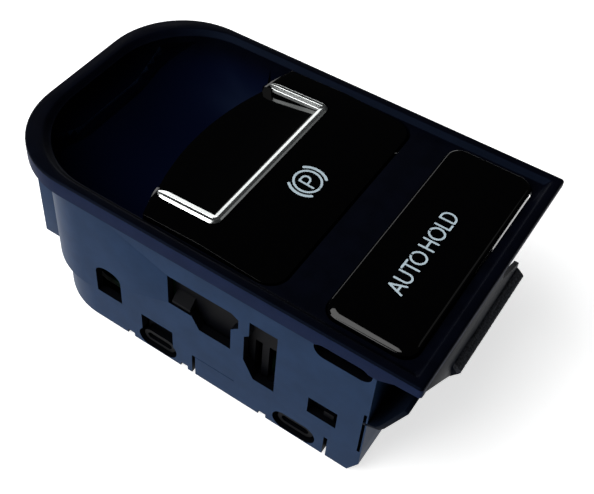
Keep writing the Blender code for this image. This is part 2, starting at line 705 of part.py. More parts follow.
def trim_solid(grow):
    """The U-shaped trim, or its groove in the rocker when grow is the gap round it."""
    x0 = TRIM_X0
    x1 = TRIM_X1
    corner = TRIM_CORNER + grow
    reach = PANEL_DROP + ROCKER_BACK_DROP + TRIM_DEPTH
    frame = prism(rounded(x0 - grow, x1 + grow, -TRIM_HALF - grow, TRIM_HALF + grow,
                          (0, corner, corner, 0)), TOP - reach, TOP + reach)
    inner_corner = TRIM_CORNER - TRIM_WIDTH / 2 - grow
    inner_half = TRIM_HALF - TRIM_WIDTH - grow
    cut(frame, prism(rounded(x0 - WALL, x1 - TRIM_WIDTH - grow, -inner_half, inner_half,
                             (0, inner_corner, inner_corner, 0)), TOP - 2 * reach,
                     TOP + 2 * reach))
    upper = rocker_top(WALL if grow else TRIM_PROUD)
    lower = rocker_top(-TRIM_DEPTH - grow)
    band = prism(list(upper) + list(lower)[::-1], -ROCKER_Y, ROCKER_Y, "xz")
    return common(frame, band)


def make_trim(parent, chrome):
    return finish(trim_solid(0), "chrome_trim", chrome, parent)


def make_hold_button(parent, gloss):
    """A pillow-shaped cap with a skirt, two guide posts and a switching stem."""
    rings = []
    levels = [(0.0, HOLD_SKIRT_Z)]
    for step in range(4):
        angle = math.radians(30 * step)
        levels.append((HOLD_EDGE * (1 - math.cos(angle)),
                       HOLD_TOP - HOLD_EDGE * (1 - math.sin(angle))))
    for inset, z in levels:
        outline = rounded(HOLD_X0 + inset, HOLD_X1 - inset, -HOLD_Y + inset, HOLD_Y - inset,
                          (HOLD_CORNER - inset / 2,) * 4)
        rings.append([(x, y, z) for x, y in outline])
    button = loft(rings)
    shell = HOLD_SHELL
    cut(button, box(HOLD_X0 + shell, HOLD_X1 - shell, -HOLD_Y + shell, HOLD_Y - shell,
                    HOLD_SKIRT_Z - WALL, HOLD_UNDER))
    post_foot = DECK_TOP - DECK - GUIDE_LENGTH / 2
    for side in (-1, 1):
        add(button, cylinder(POST_X, side * HOLD_POST_Y, HOLD_POST_RADIUS, post_foot,
                             HOLD_UNDER + FIT))
    add(button, cylinder(STEM_X, 0.0, HOLD_POST_RADIUS, DOME_TOP + DOME_GAP + HOLD_TRAVEL / 2,
                         HOLD_UNDER + FIT))
    return finish(button, "hold_button", gloss, parent)


def make_carrier(parent, plastic):
    """The frame snapped into the housing: walls, guide deck, pin posts and snap ramps."""
    carrier = box(CARRIER_X0, CARRIER_X1, -CARRIER_Y, CARRIER_Y, CARRIER_FOOT, CARRIER_TOP)
    wall = CARRIER_WALL
    middle = (ROCKER_X1 + HOLD_X0) / 2
    for x0, x1 in ((CARRIER_X0 + wall, middle - wall / 2), (middle + wall / 2, CARRIER_X1 - wall)):
        inner_y = CARRIER_Y - wall
        cut(carrier, box(x0, x1, -inner_y, inner_y, DECK_TOP, TOP))
        cut(carrier, box(x0, x1, -inner_y, inner_y, 0.0, DECK_TOP - DECK))
    cut(carrier, box(CARRIER_X0 - wall, CARRIER_X1 + wall, -MAT_CHANNEL_HALF, MAT_CHANNEL_HALF,
                     0.0, CARRIER_FOOT + MAT_CHANNEL_HEIGHT))
    deck_low = DECK_TOP - DECK
    guides = [(PUSH_X, 0.0, PAD_RADIUS), (PULL_X, 0.0, PAD_RADIUS), (STEM_X, 0.0, HOLD_POST_RADIUS),
              (POST_X, -HOLD_POST_Y, HOLD_POST_RADIUS), (POST_X, HOLD_POST_Y, HOLD_POST_RADIUS),
              (*PARKING_GUIDE, PARKING_GUIDE_RADIUS)]
    for x, y, radius in guides:
        add(carrier, cylinder(x, y, radius + FIT + GUIDE_WALL, deck_low - GUIDE_LENGTH,
                              DECK_TOP - DECK / 2))
    for x, y, radius in guides:
        cut(carrier, cylinder(x, y, radius + FIT, deck_low - 2 * GUIDE_LENGTH, TOP))
    x, y = HOLD_GUIDE
    half_x = HOLD_GUIDE_WIDTH / 2 + FIT
    half_y = HOLD_GUIDE_LENGTH / 2 + FIT
    cut(carrier, box(x - half_x, x + half_x, y - half_y, y + half_y, 0.0, TOP))
    for side in (-1, 1):
        inner = side * (EAR_HALF + FIT)
        outer = inner + side * POST
        post = box(PIVOT[0] - POST_WIDTH / 2, PIVOT[0] + POST_WIDTH / 2, *sorted((inner, outer)),
                   DECK_TOP - DECK / 2, PIVOT[2] + PIN_RADIUS + CARRIER_WALL)
        cut(post, prism(circle(PIN_RADIUS + FIT, 16, (PIVOT[0], PIVOT[2])), inner - side * WALL,
                        outer + side * WALL, "xz"))
        add(carrier, post, snap_ramp(side), window_nub(side))
        for slot in (-1, 1):
            x = HEX_WINDOW_X + slot * 2 * SLIT
            cut(carrier, box(x - SLIT, x + SLIT, *sorted((side * (CARRIER_Y - 2 * wall),
                                                           side * (CARRIER_Y + wall))),
                             CARRIER_FOOT + wall, DECK_TOP - DECK - wall))
    return finish(carrier, "switch_carrier", plastic, parent)


def snap_ramp(side):
    """Wedge that holds the carrier on the lower edge of the main window."""
    low = TOP - MAIN_WINDOW_DROP + MAIN_WINDOW_STEP + FIT
    root_y = side * (CARRIER_Y - CARRIER_WALL / 2)
    nose_y = side * (BODY_Y - FIT)
    outline = ((root_y, low), (nose_y, low), (nose_y, low + RAMP_NOSE), (root_y, low + RAMP_HEIGHT))
    return prism(outline, MAIN_WINDOW_X + RAMP_X[0], MAIN_WINDOW_X + RAMP_X[1], "yz")


def window_nub(side):
    """Small block on the carrier that shows in the small window."""
    reach = (side * (CARRIER_Y - CARRIER_WALL / 2), side * (CARRIER_Y + SNAP_GAP + WALL / 2))
    low = SMALL_WINDOW_Z - SMALL_WINDOW_HEIGHT + NUB_LIFT
    length, height = NUB
    return box(SMALL_WINDOW_X, SMALL_WINDOW_X + length, *sorted(reach), low, low + height)


def make_pivot_pins(parent, steel):
    for name, side in (("pivot_pin_front", -1), ("pivot_pin_back", 1)):
        start = side * (EAR_HALF - EAR - FIT)
        pin = prism(circle(PIN_RADIUS, 12, (PIVOT[0], PIVOT[2])), start,
                    start + side * PIN_LENGTH, "xz")
        finish(pin, name, steel, parent)


def make_plunger(name, x, parent, plastic):
    top = PAD_Z - PAD_GAP
    plunger = cylinder(x, 0.0, PAD_RADIUS, DOME_TOP + DOME_GAP, top)
    return finish(plunger, name, plastic, parent)


def make_spring(name, x, y, high, parent, steel):
    """A compression spring on the guide deck, as a round wire along a helix."""
    steps = 10 * SPRING_TURNS
    wire_sides = 5
    start_z = DECK_TOP + FIT + SPRING_WIRE
    rise = high - FIT - SPRING_WIRE - start_z
    rings = []
    for step in range(steps + 1):
        share = step / steps
        angle = 2 * math.pi * SPRING_TURNS * share
        ring = []
        for corner in range(wire_sides):
            turn = 2 * math.pi * corner / wire_sides
            reach = SPRING_RADIUS + SPRING_WIRE * math.cos(turn)
            ring.append((x + reach * math.cos(angle), y + reach * math.sin(angle),
                         start_z + rise * share + SPRING_WIRE * math.sin(turn)))
        rings.append(ring)
    return finish(loft(rings), name, steel, parent)


def make_springs(parent, steel):
    """One pair for each way the rocker tips, and one pair round the hold button's posts."""
    pairs = (("push", PUSH_X, SPRING_Y, PAD_Z), ("pull", PULL_X, SPRING_Y, PAD_Z),
             ("hold", POST_X, HOLD_POST_Y, HOLD_UNDER))
    for name, x, y, high in pairs:
        make_spring(name + "_spring_front", x, -y, high, parent, steel)
        make_spring(name + "_spring_back", x, y, high, parent, steel)


def make_parking_guide(parent, clear):
    x, y = PARKING_GUIDE
    top = TOP - PIVOT_DROP + GUIDE_TOP_GAP / 3
    guide = cylinder(x, y, PARKING_GUIDE_RADIUS, GUIDE_FOOT, top, 20)
    add(guide, cylinder(x, y, PARKING_GUIDE_RADIUS + GUIDE_COLLAR, DECK_TOP + FIT,
                        DECK_TOP + FIT + GUIDE_COLLAR, 20))
    return finish(guide, "parking_light_guide", clear, parent)


def make_hold_guide(parent, clear):
    x, y = HOLD_GUIDE
    half_x = HOLD_GUIDE_WIDTH / 2
    half_y = HOLD_GUIDE_LENGTH / 2
    top = HOLD_UNDER - HOLD_TRAVEL - GUIDE_TOP_GAP
    guide = box(x - half_x, x + half_x, y - half_y, y + half_y, GUIDE_FOOT, top)
    half_y += GUIDE_COLLAR
    add(guide, box(x - half_x, x + half_x, y - half_y, y + half_y, DECK_TOP + FIT,
                   DECK_TOP + FIT + GUIDE_COLLAR))
    return finish(guide, "hold_light_guide", clear, parent)


def led_places():
    x, y = HOLD_GUIDE
    return {"parking_led": PARKING_GUIDE, "hold_led_front": (x, y - HOLD_GUIDE_LENGTH / 4),
            "hold_led_back": (x, y + HOLD_GUIDE_LENGTH / 4)}


def make_leds(parent, led):
    half = LED_SIZE / 2
    low = BOARD_TOP + FIT
    for name, (x, y) in led_places().items():
        finish(box(x - half, x + half, y - half, y + half, low, low + LED_HEIGHT), name, led,
               parent)


def make_switch_mat(parent, silicone):
    low = BOARD_TOP + FIT
    mat = box(PUSH_X - MAT_MARGIN, STEM_X + MAT_MARGIN, -MAT_HALF, MAT_HALF, low, low + MAT)
    for x in (PUSH_X, PULL_X, STEM_X):
        rings = []
        for radius, z in ((DOME_RADIUS, MAT_TOP - MAT / 2), (DOME_RADIUS, MAT_TOP),
                          (DOME_TOP_RADIUS, DOME_TOP)):
            rings.append([(u, v, z) for u, v in circle(radius, 16, (x, 0.0))])
        add(mat, loft(rings))
    half = LED_SIZE / 2 + FIT
    for x, y in led_places().values():
        cut(mat, box(x - half, x + half, y - half, y + half, low - MAT, DOME_TOP))
    return finish(mat, "switch_mat", silicone, parent)


def make_board(parent, board_green):
    x0 = INNER_X0 + BODY_STEP + BOARD_END_GAP
    x1 = CARRIER_X1 - BOARD_END_GAP
    y = CARRIER_Y - CARRIER_WALL - BOARD_END_GAP / 3
    corner = BODY_CORNER - WALL - BOARD_END_GAP
    outline = rounded(x0, x1, -y, y, (corner, 0, 0, corner))
    return finish(prism(outline, BOARD_Z, BOARD_TOP), "circuit_board", board_green, parent)


def make_chip(parent, epoxy):
    length, width, height = CHIP
    low = BOARD_TOP + FIT
    chip = box(CHIP_X - length / 2, CHIP_X + length / 2, -width / 2, width / 2, low, low + height)
    return finish(chip, "control_chip", epoxy, parent)


def pin_xs():
    first = SOCKET_X - PIN_PITCH * (PIN_COUNT - 1) / 2
    return [first + PIN_PITCH * index for index in range(PIN_COUNT)]


def make_header(parent, plastic):
    high = BOARD_Z - FIT
    low = high - HEADER
    half_x = SOCKET_LENGTH / 2 - FIT
    half_y = SOCKET_WIDTH / 2 - FIT
    header = box(SOCKET_X - half_x, SOCKET_X + half_x, -half_y, half_y, low, high)
    half = PIN_SIZE / 2 + FIT
    for x in pin_xs():
        cut(header, box(x - half, x + half, -half, half, low - HEADER, high + HEADER))
    return finish(header, "pin_header", plastic, parent)


def make_pins(parent, brass):
    half = PIN_SIZE / 2
    for number, x in enumerate(pin_xs(), 1):
        pin = box(x - half, x + half, -half, half, PIN_END, BOARD_Z - FIT)
        finish(pin, f"connector_pin_{number}", brass, parent)


def make_cover(parent, plastic):
    """The cover that closes the underside, with the connector's shroud and the snap tabs."""
    x0 = INNER_X0 + BODY_STEP + SNAP_GAP
    x1 = BODY_X1 - BODY_CHAMFER[0] - WALL
    y = INNER_Y - SNAP_GAP
    corner = BODY_CORNER - WALL - SNAP_GAP
    cover = prism(rounded(x0, x1, -y, y, (corner, 0, 0, corner)), 0.0, COVER)
    half_x = SOCKET_LENGTH / 2
    half_y = SOCKET_WIDTH / 2
    add(cover, box(SOCKET_X - half_x - SOCKET_WALL, SOCKET_X + half_x + SOCKET_WALL,
                   -half_y - SOCKET_WALL, half_y + SOCKET_WALL, 0.0, BOARD_Z - FIT))
    cut(cover, box(SOCKET_X - half_x, SOCKET_X + half_x, -half_y, half_y, -COVER, BOARD_Z))
    post_y = CARRIER_Y - CARRIER_WALL - 2 * COVER_POST_RADIUS
    for x in (ARCH_X, MAIN_WINDOW_X, VENT_X):
        for side in (-1, 1):
            add(cover, cylinder(x, side * post_y, COVER_POST_RADIUS, COVER / 2, BOARD_Z - FIT, 12))
    for x in SNAP_XS:
        for side in (-1, 1):
            add(cover, *snap_tab(x, side))
    return finish(cover, "bottom_cover", plastic, parent)


def snap_tab(x, side):
    """An arm on the cover whose pill-shaped nose sits in the housing's snap window."""
    cover_y = INNER_Y - SNAP_GAP
    half = SNAP_WIDTHS / 2
    arm = box(x - half, x + half, *sorted((side * cover_y, side * (cover_y - COVER_TAB))),
              COVER / 2, SNAP_Z + SNAP_HEIGHT / 2 + SNAP_SLOT)
    outline = [(x + u, SNAP_Z + v) for u, v in pill(SNAP_WIDTHS, SNAP_HEIGHT)]
    hollow = [(x + u, SNAP_Z + v) for u, v in pill(SNAP_WIDTHS - 2 * SNAP_SLOT,
                                                   SNAP_HEIGHT - 2 * SNAP_SLOT)]
    inner = side * (cover_y - COVER_TAB / 2)
    outer = side * (cover_y + SNAP_DEPTH)
    nose = prism(outline, inner, outer, "xz")
    cut(nose, prism(hollow, side * (cover_y + SNAP_DEPTH / 2), outer + side * WALL, "xz"))
    return arm, nose


def make_felt(parent, felt):
    """A strip on the ledge, whose slanted face looks up and out of the unit's end."""
    out, drop = FELT_SLOPE
    ledge_out, ledge_drop = LEDGE[2]
    low = TOP - LEDGE[1][1]
    outline = ((LUG_X, low), (LUG_X, low + FELT), (LUG_X + out, low + FELT - drop),
               (LUG_X + ledge_out, TOP - ledge_drop))
    return finish(prism(outline, -LEDGE_HALF, LEDGE_HALF, "xz"), "felt_strip", felt, parent)


def main():
    for old in list(bpy.data.objects):
        bpy.data.objects.remove(old)

    black = material("black_plastic", (0.012, 0.013, 0.018), 0.45)
    inner_black = material("inner_black_plastic", (0.010, 0.010, 0.013), 0.5)
    gloss = material("gloss_black", (0.004, 0.004, 0.005), 0.08)
    button_gloss = material("button_gloss_black", (0.004, 0.004, 0.005), 0.1)
    chrome = material("chrome", (0.80, 0.82, 0.82), 0.12, 1.0)
    steel = material("steel", (0.55, 0.55, 0.56), 0.3, 1.0)
    spring_steel = material("spring_steel", (0.45, 0.45, 0.47), 0.35, 1.0)
    white = material("white_plastic", (0.75, 0.75, 0.72), 0.45)
    clear = material("clear_plastic", (0.85, 0.88, 0.90), 0.08, 0.0, 0.4)
    silicone = material("silicone", (0.30, 0.31, 0.33), 0.6)
    green = material("board_green", (0.02, 0.13, 0.05), 0.4)
    led = material("led_body", (0.85, 0.82, 0.60), 0.35)
    epoxy = material("chip_epoxy", (0.02, 0.02, 0.02), 0.6)
    tin = material("tinned_brass", (0.62, 0.58, 0.46), 0.3, 1.0)
    connector = material("connector_plastic", (0.015, 0.015, 0.017), 0.5)
    felt = material("felt", (0.10, 0.11, 0.12), 0.95)

    unit = axis_empty("unit_origin", (-MIDDLE_X, 0.0, 0.0))
    rocker_axis = axis_empty("rocker_axis", PIVOT, unit)
    hold_axis = axis_empty("hold_axis", (STEM_X, 0.0, PANEL_Z), unit)
    push_axis = axis_empty("push_plunger_axis", (PUSH_X, 0.0, DECK_TOP), unit)
    pull_axis = axis_empty("pull_plunger_axis", (PULL_X, 0.0, DECK_TOP), unit)

    make_housing(unit, black)
    make_rocker(rocker_axis, gloss)
    make_trim(rocker_axis, chrome)
    make_hold_button(hold_axis, button_gloss)
    make_carrier(unit, inner_black)
    make_pivot_pins(unit, steel)
    make_plunger("push_plunger", PUSH_X, push_axis, white)
    make_plunger("pull_plunger", PULL_X, pull_axis, white)
    make_springs(unit, spring_steel)
    make_parking_guide(unit, clear)
    make_hold_guide(unit, clear)
    make_leds(unit, led)
    make_switch_mat(unit, silicone)
    make_board(unit, green)
    make_chip(unit, epoxy)
    make_header(unit, connector)
    make_pins(unit, tin)
    make_cover(unit, inner_black)
    make_felt(unit, felt)


main()
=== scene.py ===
# Looks of the electric parking brake switch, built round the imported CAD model.
#
# The pieces are built in the part's own frame: +X runs towards the hold button, +Y towards the
# far side and +Z up, in metres, with X = 0 in the middle of the bezel. Each finished piece is then
# moved by UNIT_SHIFT into the shared frame.

import math
import random

import bmesh
import bpy
from mathutils import Matrix, Vector


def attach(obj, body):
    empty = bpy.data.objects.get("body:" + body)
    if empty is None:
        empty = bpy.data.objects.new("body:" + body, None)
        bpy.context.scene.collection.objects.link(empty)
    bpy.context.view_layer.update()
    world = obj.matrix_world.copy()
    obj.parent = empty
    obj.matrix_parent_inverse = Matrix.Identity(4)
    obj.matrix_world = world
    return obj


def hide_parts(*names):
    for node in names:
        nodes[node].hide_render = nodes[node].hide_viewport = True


# Camera, solved from the bezel's edges in the photograph
CAMERA_TARGET = (-0.00523, -0.01085, 0.0400)
CAMERA_DISTANCE = 0.19713
CAMERA_AZIMUTH = 35.04
CAMERA_ELEVATION = 46.30
CAMERA_ROLL = 0.9
CAMERA_LENS = 60.81
CAMERA_SHIFT = (0.1263, -0.1094)

UNIT_SHIFT = -0.0008          # middle of the bezel in the shared frame

# Bezel and panel
TOP = 0.040
BEZEL_X = 0.050
BEZEL_Y = 0.030
BEZEL_CORNER = 0.019
BEZEL_EDGE = 0.0042
EDGE_ROUND = 0.0005
RIM = 0.00305                 # width of the rim with its inner slope
RIM_SLOPE = 0.00125
PANEL_Z = 0.0390
PANEL_UNDER = 0.0370
PANEL_X0 = -0.04575
PANEL_Y = BEZEL_Y - RIM
RIM_CORNER = 0.0006           # panel's two square corners
END_EDGE = ((0.0416, 0.0042), (0.0450, 0.0026), (0.0520, 0.0023))     # X and drop
RIM_UNDERCUT = (0.0024, 0.0014)       # at the hold end: length, thickness of the rim left
RIM_FRONT = 0.0016            # part of the front edge that keeps its full height

# Body
BODY_X0 = -0.0433
BODY_X1 = 0.0416
BODY_Y = 0.0292
BODY_CORNER = 0.016
WALL = 0.0018
WALL_FOOT = 0.0009
BODY_STEP = 0.0025
BODY_STEP_Z = 0.0100
BODY_EDGE = 0.00012           # rounding of the openings' edges
BODY_CHAMFER = ((0.0394, WALL_FOOT), (0.0434, WALL_FOOT - WALL), (0.0434, 0.0085))
WINDOW_INNER_Y = 0.0271       # how far in the cutters of the side openings reach
SURFACE_DEPTH = 0.0003        # faces deeper than this count as lying inside
BODY_OVERLAP = 0.0005         # how far the walls reach into the panel
OVERLAP = 0.0003              # how far posts reach into what carries them

# Finger well
WELL_DEPTH = 0.0170
WELL_END_CURVE = 0.0225
WELL_SIDE_CURVE = 0.011
WELL_BACK_CURVE = 0.003
WELL_BACK_CORNER = 0.003
WELL_X1 = -0.0062
WELL_WALL = 0.0016

# Ribs and end parts
RIB_Y = 0.0195
RIB = 0.0016                  # thickness
RIB_REACH = 0.0042            # from the body's end outwards
RIB_ROOT = 0.0053             # and inwards
RIB_FOOT = 0.0055
RIB_EDGE = 0.0003
LUG_X = 0.0498
LUG = 0.0010                  # thickness
LUG_OUTLINE = ((-0.0288, 0.0015), (-0.0286, 0.0026), (-0.0177, 0.0122), (-0.0138, 0.0158),
               (0.0138, 0.0158), (0.0138, 0.0101), (0.0126, 0.0096), (0.0040, 0.0052),
               (0.0026, 0.0015))             # Y and drop
LEDGE = ((-0.0007, 0.0129), (0.0, 0.0129), (0.0012, 0.0142), (-0.0004, 0.0164),
         (-0.0007, 0.0160))                  # from the lug's face, and drop
LEDGE_HALF = 0.0138
APRON = 0.0009                # thickness
APRON_LINE = ((-0.0013, 0.0097), (-0.0049, 0.0183), (-0.0058, 0.0197))
APRON_FOOT_DROP = 0.0210
FELT = 0.0014                 # height of the felt at the lug
FELT_OUT = 0.0018             # how far the felt stands out
FELT_FALL = 0.0016            # how far its face falls over that
FELT_FUZZ = 0.00011           # depth of its fibres
FELT_EDGE = 0.00018           # rounding of its long edges
FELT_NORMAL = (0.66, 0.75)    # direction of its face in X and Z

# Rocker and trim
ROCKER_X0 = -0.0120
ROCKER_X1 = 0.0183
ROCKER_CORNER = 0.004
ROCKER_Y = 0.0263
ROCKER_GAP = 0.00045
ROCKER_BACK_GAP = 0.0008
ROCKER_ROOM_DROP = 0.0072     # floor of the opening that the rocker moves in
ROCKER_EDGE = 0.0005
ROCKER_SHELL = 0.0020
ROCKER_SKIRT_Z = 0.0320
ROCKER_FRONT_Z = 0.0348
ROCKER_STEP_X = -0.0033       # behind the well's wall, where the skirt is deeper
ROCKER_ROOF_RISE = 0.0003     # how much thinner the roof is at its rear
PIVOT = (0.010, 0.0330)       # X and Z
PIVOT_BORE = 0.0024
EAR_Y = (0.0210, 0.0226)
EAR_HALF = 0.0024
EAR_TOPS = (0.0375, 0.0368)
PAD_Z = 0.0310
PADS = ((0.0004, 0.0384), (0.0160, 0.0367))                           # X and top
PAD_ROWS = ((0.0, 0.0016), (-0.012, 0.0024), (0.012, 0.0024))         # Y and radius
CREST_X = 0.0015
BACK_DROP = 0.0012
LIP_X = -0.0180
LIP_DROP = 0.0028
LIP_HALF = 0.0208
LIP_BOW = 0.0040
LIP_THICKNESS = 0.0026
CHEEK_DROP = 0.0006
TRIM_X0 = -0.0134
TRIM_X1 = 0.00135
TRIM_WIDTH = 0.0018
TRIM_ARM_WIDTH = 0.0022
TRIM_HALF = 0.0209
TRIM_CORNER = 0.0016
TRIM_BEND = 0.00035           # extra radius of the middle line in its bends
TRIM_TIP = 0.35               # share of its full width that the trim has at its very tips
TRIM_TAPER = 0.0018           # length over which a tip gains its full width
TRIM_GROOVE_TIP = 0.0021
TRIM_GAP = 0.0002
TRIM_GROOVE_DROP = 0.0024
DISH_DEPTH = 0.0009
DISH_TIP_DROP = 0.0030
DISH_STEP = 0.0008            # length of the dish's steep start behind the bar

# Hold button
HOLD_X0 = 0.0277
HOLD_X1 = 0.0457
HOLD_Y = 0.0258
HOLD_TOP = 0.0404
HOLD_GAP = 0.0003
HOLD_SKIRT_Z = 0.0366
HOLD_CORNER = 0.003
HOLD_SHELL = 0.0018
HOLD_SHELL_END = 0.0024
HOLD_EDGE = 0.0011            # height of the rounding round the top
HOLD_INSETS = (0.0006, 0.0012, 0.0024, 0.0013)   # its width at the left, right, front, back
HOLD_ROOM_Z = 0.0300
HOLD_WALL_DROP = 0.00495      # how far down the walls are cut beside the button
HOLD_STUDS = ((0.0330, -0.0200, 0.0210), (0.0330, 0.0200, 0.0210), (0.0308, 0.0, 0.0132))
HOLD_STUD_RADIUS = 0.0011

# Legends
LEGEND_HEIGHT = 0.00003
LEGEND_ROOT = 0.0001          # how deep the strokes reach into the surface
LETTER_STROKE = 0.00042

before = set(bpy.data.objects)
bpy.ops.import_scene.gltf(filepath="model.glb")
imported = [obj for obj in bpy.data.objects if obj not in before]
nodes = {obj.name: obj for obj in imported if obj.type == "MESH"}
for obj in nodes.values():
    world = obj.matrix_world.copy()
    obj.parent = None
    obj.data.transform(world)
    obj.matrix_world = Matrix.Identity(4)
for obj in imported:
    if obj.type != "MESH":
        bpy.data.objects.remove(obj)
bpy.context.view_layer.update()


# Shapes

def rounded(x0, x1, y0, y1, radii, steps=8):
    """Outline of a rectangle whose corner radii start at (x0, y0) and run anticlockwise."""
    corners = ((x0, y0, 1, 1, 180), (x1, y0, -1, 1, 270), (x1, y1, -1, -1, 0), (x0, y1, 1, -1, 90))
    points = []
    for (x, y, inward_x, inward_y, start), radius in zip(corners, radii):
        if radius == 0:
            points.append((x, y))
            continue
        for step in range(steps + 1):
            angle = math.radians(start + 90 * step / steps)
            points.append((x + inward_x * radius + radius * math.cos(angle),
                           y + inward_y * radius + radius * math.sin(angle)))
    return points


def in_space(plane, u, v, w):
    if plane == "xy":
        return (u, v, w)
    if plane == "xz":
        return (u, w, v)
    return (w, u, v)


def loft(rings, closed=False):
    """A solid through rings with equal numbers of points; a closed one bites its own tail."""
    bm = bmesh.new()
    rows = [[bm.verts.new(point) for point in ring] for ring in rings]
    pairs = list(zip(rows, rows[1:]))
    if closed:
        pairs.append((rows[-1], rows[0]))
    else:
        bm.faces.new(rows[0])
        bm.faces.new(rows[-1])
    for lower, upper in pairs:
        for i in range(len(lower)):
            j = (i + 1) % len(lower)
            bm.faces.new((lower[i], lower[j], upper[j], upper[i]))
    bmesh.ops.recalc_face_normals(bm, faces=bm.faces)
    mesh = bpy.data.meshes.new("shape")
    bm.to_mesh(mesh)
    bm.free()
    shape = bpy.data.objects.new("shape", mesh)
    bpy.context.collection.objects.link(shape)
    return shape


def prism(outline, low, high, plane="xy"):
    return loft([[in_space(plane, u, v, w) for u, v in outline] for w in (low, high)])


def box(x0, x1, y0, y1, z0, z1):
    return prism(((x0, y0), (x1, y0), (x1, y1), (x0, y1)), z0, z1)


def apply_modifiers(shape):
    depsgraph = bpy.context.evaluated_depsgraph_get()
    result = bpy.data.meshes.new_from_object(shape.evaluated_get(depsgraph))
    old = shape.data
    shape.modifiers.clear()
    shape.data = result
    bpy.data.meshes.remove(old)


def combine(target, tools, operation):
    for tool in tools:
        step = target.modifiers.new("step", "BOOLEAN")
        step.solver = "EXACT"
        step.operation = operation
        step.object = tool
        apply_modifiers(target)
        bpy.data.objects.remove(tool)
    return target


def add(target, *tools):
    return combine(target, tools, "UNION")


def cut(target, *tools):
    return combine(target, tools, "DIFFERENCE")


def round_edges(shape, width, segments=2, angle=35):
    bevel = shape.modifiers.new("edges", "BEVEL")
    bevel.width = width
    bevel.segments = segments
    bevel.limit_method = "ANGLE"
    bevel.angle_limit = math.radians(angle)
    bevel.miter_outer = "MITER_ARC"
    apply_modifiers(shape)


def within(x, y, x0, x1, half, corner, margin):
    """Whether a place lies more than the margin inside an outline with two round corners."""
    from_corner_x = x0 + corner - x
    from_corner_y = abs(y) - (half - corner)
    if from_corner_x > 0 and from_corner_y > 0:
        return math.hypot(from_corner_x, from_corner_y) < corner - margin
    return x0 + margin < x < x1 - margin and abs(y) < half - margin


def piece(shape, name, surfaces_used, body, replaced=(), smooth=32, takes_second=None):
    """Names a finished shape, moves it into the shared frame and lets it ride its body.

    takes_second tells from a face's middle whether it has the second of two surfaces.
    """
    shape.name = name
    shape.data.name = name
    shape.data.materials.clear()
    for surface in surfaces_used:
        shape.data.materials.append(surface)
    if takes_second:
        for face in shape.data.polygons:
            face.material_index = int(takes_second(*face.center))
    shape.data.transform(Matrix.Translation((UNIT_SHIFT, 0.0, 0.0)))
    shape.data.shade_smooth()
    shape.data.set_sharp_from_angle(angle=math.radians(smooth))
    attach(shape, body)
    if replaced:
        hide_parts(*replaced)
    return shape


def smooth_curve(points, steps=6, share=0.35):
    """Rounds the inner corners of an open line of (u, v) points."""
    result = [points[0]]
    for before, here, after in zip(points, points[1:], points[2:]):
        start = [h + (b - h) * share for h, b in zip(here, before)]
        end = [h + (a - h) * share for h, a in zip(here, after)]
        for step in range(steps + 1):
            t = step / steps
            result.append(tuple((1 - t) ** 2 * s + 2 * t * (1 - t) * h + t * t * e
                                for s, h, e in zip(start, here, end)))
    return result + [points[-1]]


# Housing

def bezel_levels():
    """Inset and height of the bezel's rings, with a rounded top and a small lower chamfer."""
    levels = [(0.00015, TOP - BEZEL_EDGE), (0.0, TOP - BEZEL_EDGE + 0.00015)]
    for step in range(7):
        angle = math.radians(15 * step)
        levels.append((EDGE_ROUND * (1 - math.cos(angle)), TOP - EDGE_ROUND * (1 - math.sin(angle))))
    return levels


def bezel_plate():
    rings = []
    for inset, z in bezel_levels():
        corner = BEZEL_CORNER - inset
        small = EDGE_ROUND * 1.3 - inset / 2
        outline = rounded(-BEZEL_X + inset, BEZEL_X - inset, -BEZEL_Y + inset, BEZEL_Y - inset,
                          (corner, small, small, corner), 16)
        rings.append([(x, y, z) for x, y in outline])
    return loft(rings)


def on_bezel_side(x, y, z):
    """Whether a place lies on the bezel's outer edge, below its rounding."""
    edge = not within(x, y, -BEZEL_X, BEZEL_X, BEZEL_Y, BEZEL_CORNER, 0.8 * EDGE_ROUND)
    return edge and z < TOP - 0.8 * EDGE_ROUND


def panel_cutter():
    """Cutter for the sunk panel, with the soft slope on the rim's inner side."""
    levels = [(0.0, PANEL_Z)]
    for step in range(1, 12):
        share = step / 12
        rise = share * share * (3 - 2 * share) * 0.45 + 0.55 * share
        levels.append((RIM_SLOPE * share, PANEL_Z + (TOP - PANEL_Z) * rise))
    levels += [(RIM_SLOPE * 1.1, TOP), (RIM_SLOPE * 1.1, TOP + WALL)]
    rings = []
    for out, z in levels:
        outline = rounded(PANEL_X0 - out, BEZEL_X - RIM + out, -PANEL_Y - out, PANEL_Y + out,
                          (BEZEL_CORNER, RIM_CORNER, RIM_CORNER, BEZEL_CORNER), 16)
        rings.append([(x, y, z) for x, y in outline])
    return loft(rings)


def well_rings(skin, steps=22):
    top_z = (PANEL_Z + PANEL_UNDER) / 2 if skin else TOP + WALL
    rings = []
    for step in range(steps + 1):
        angle = math.radians(90 * step / steps)
        run_in = 1 - math.cos(angle)
        out = skin * math.cos(angle)
        half = PANEL_Y - WELL_SIDE_CURVE * run_in + out
        corner = BEZEL_CORNER * (1 - 0.25 * run_in) + out
        back_corner = WELL_BACK_CORNER * (1 + run_in) + out
        outline = rounded(PANEL_X0 + WELL_END_CURVE * run_in - out,
                          WELL_X1 - WELL_BACK_CURVE * run_in + out, -half, half,
                          (corner, back_corner, back_corner, corner), 14)
        z = TOP - (WELL_DEPTH + skin) * math.sin(angle)
        if step == 0:
            rings.append([(x, y, top_z) for x, y in outline])
        if z < top_z - SURFACE_DEPTH:
            rings.append([(x, y, z) for x, y in outline])
    return rings


def body_outline(inset, step=0.0):
    corner = BODY_CORNER - inset
    return rounded(BODY_X0 + inset + step, BODY_X1 - inset, -BODY_Y + inset, BODY_Y - inset,
                   (corner, 0, 0, corner), 18)


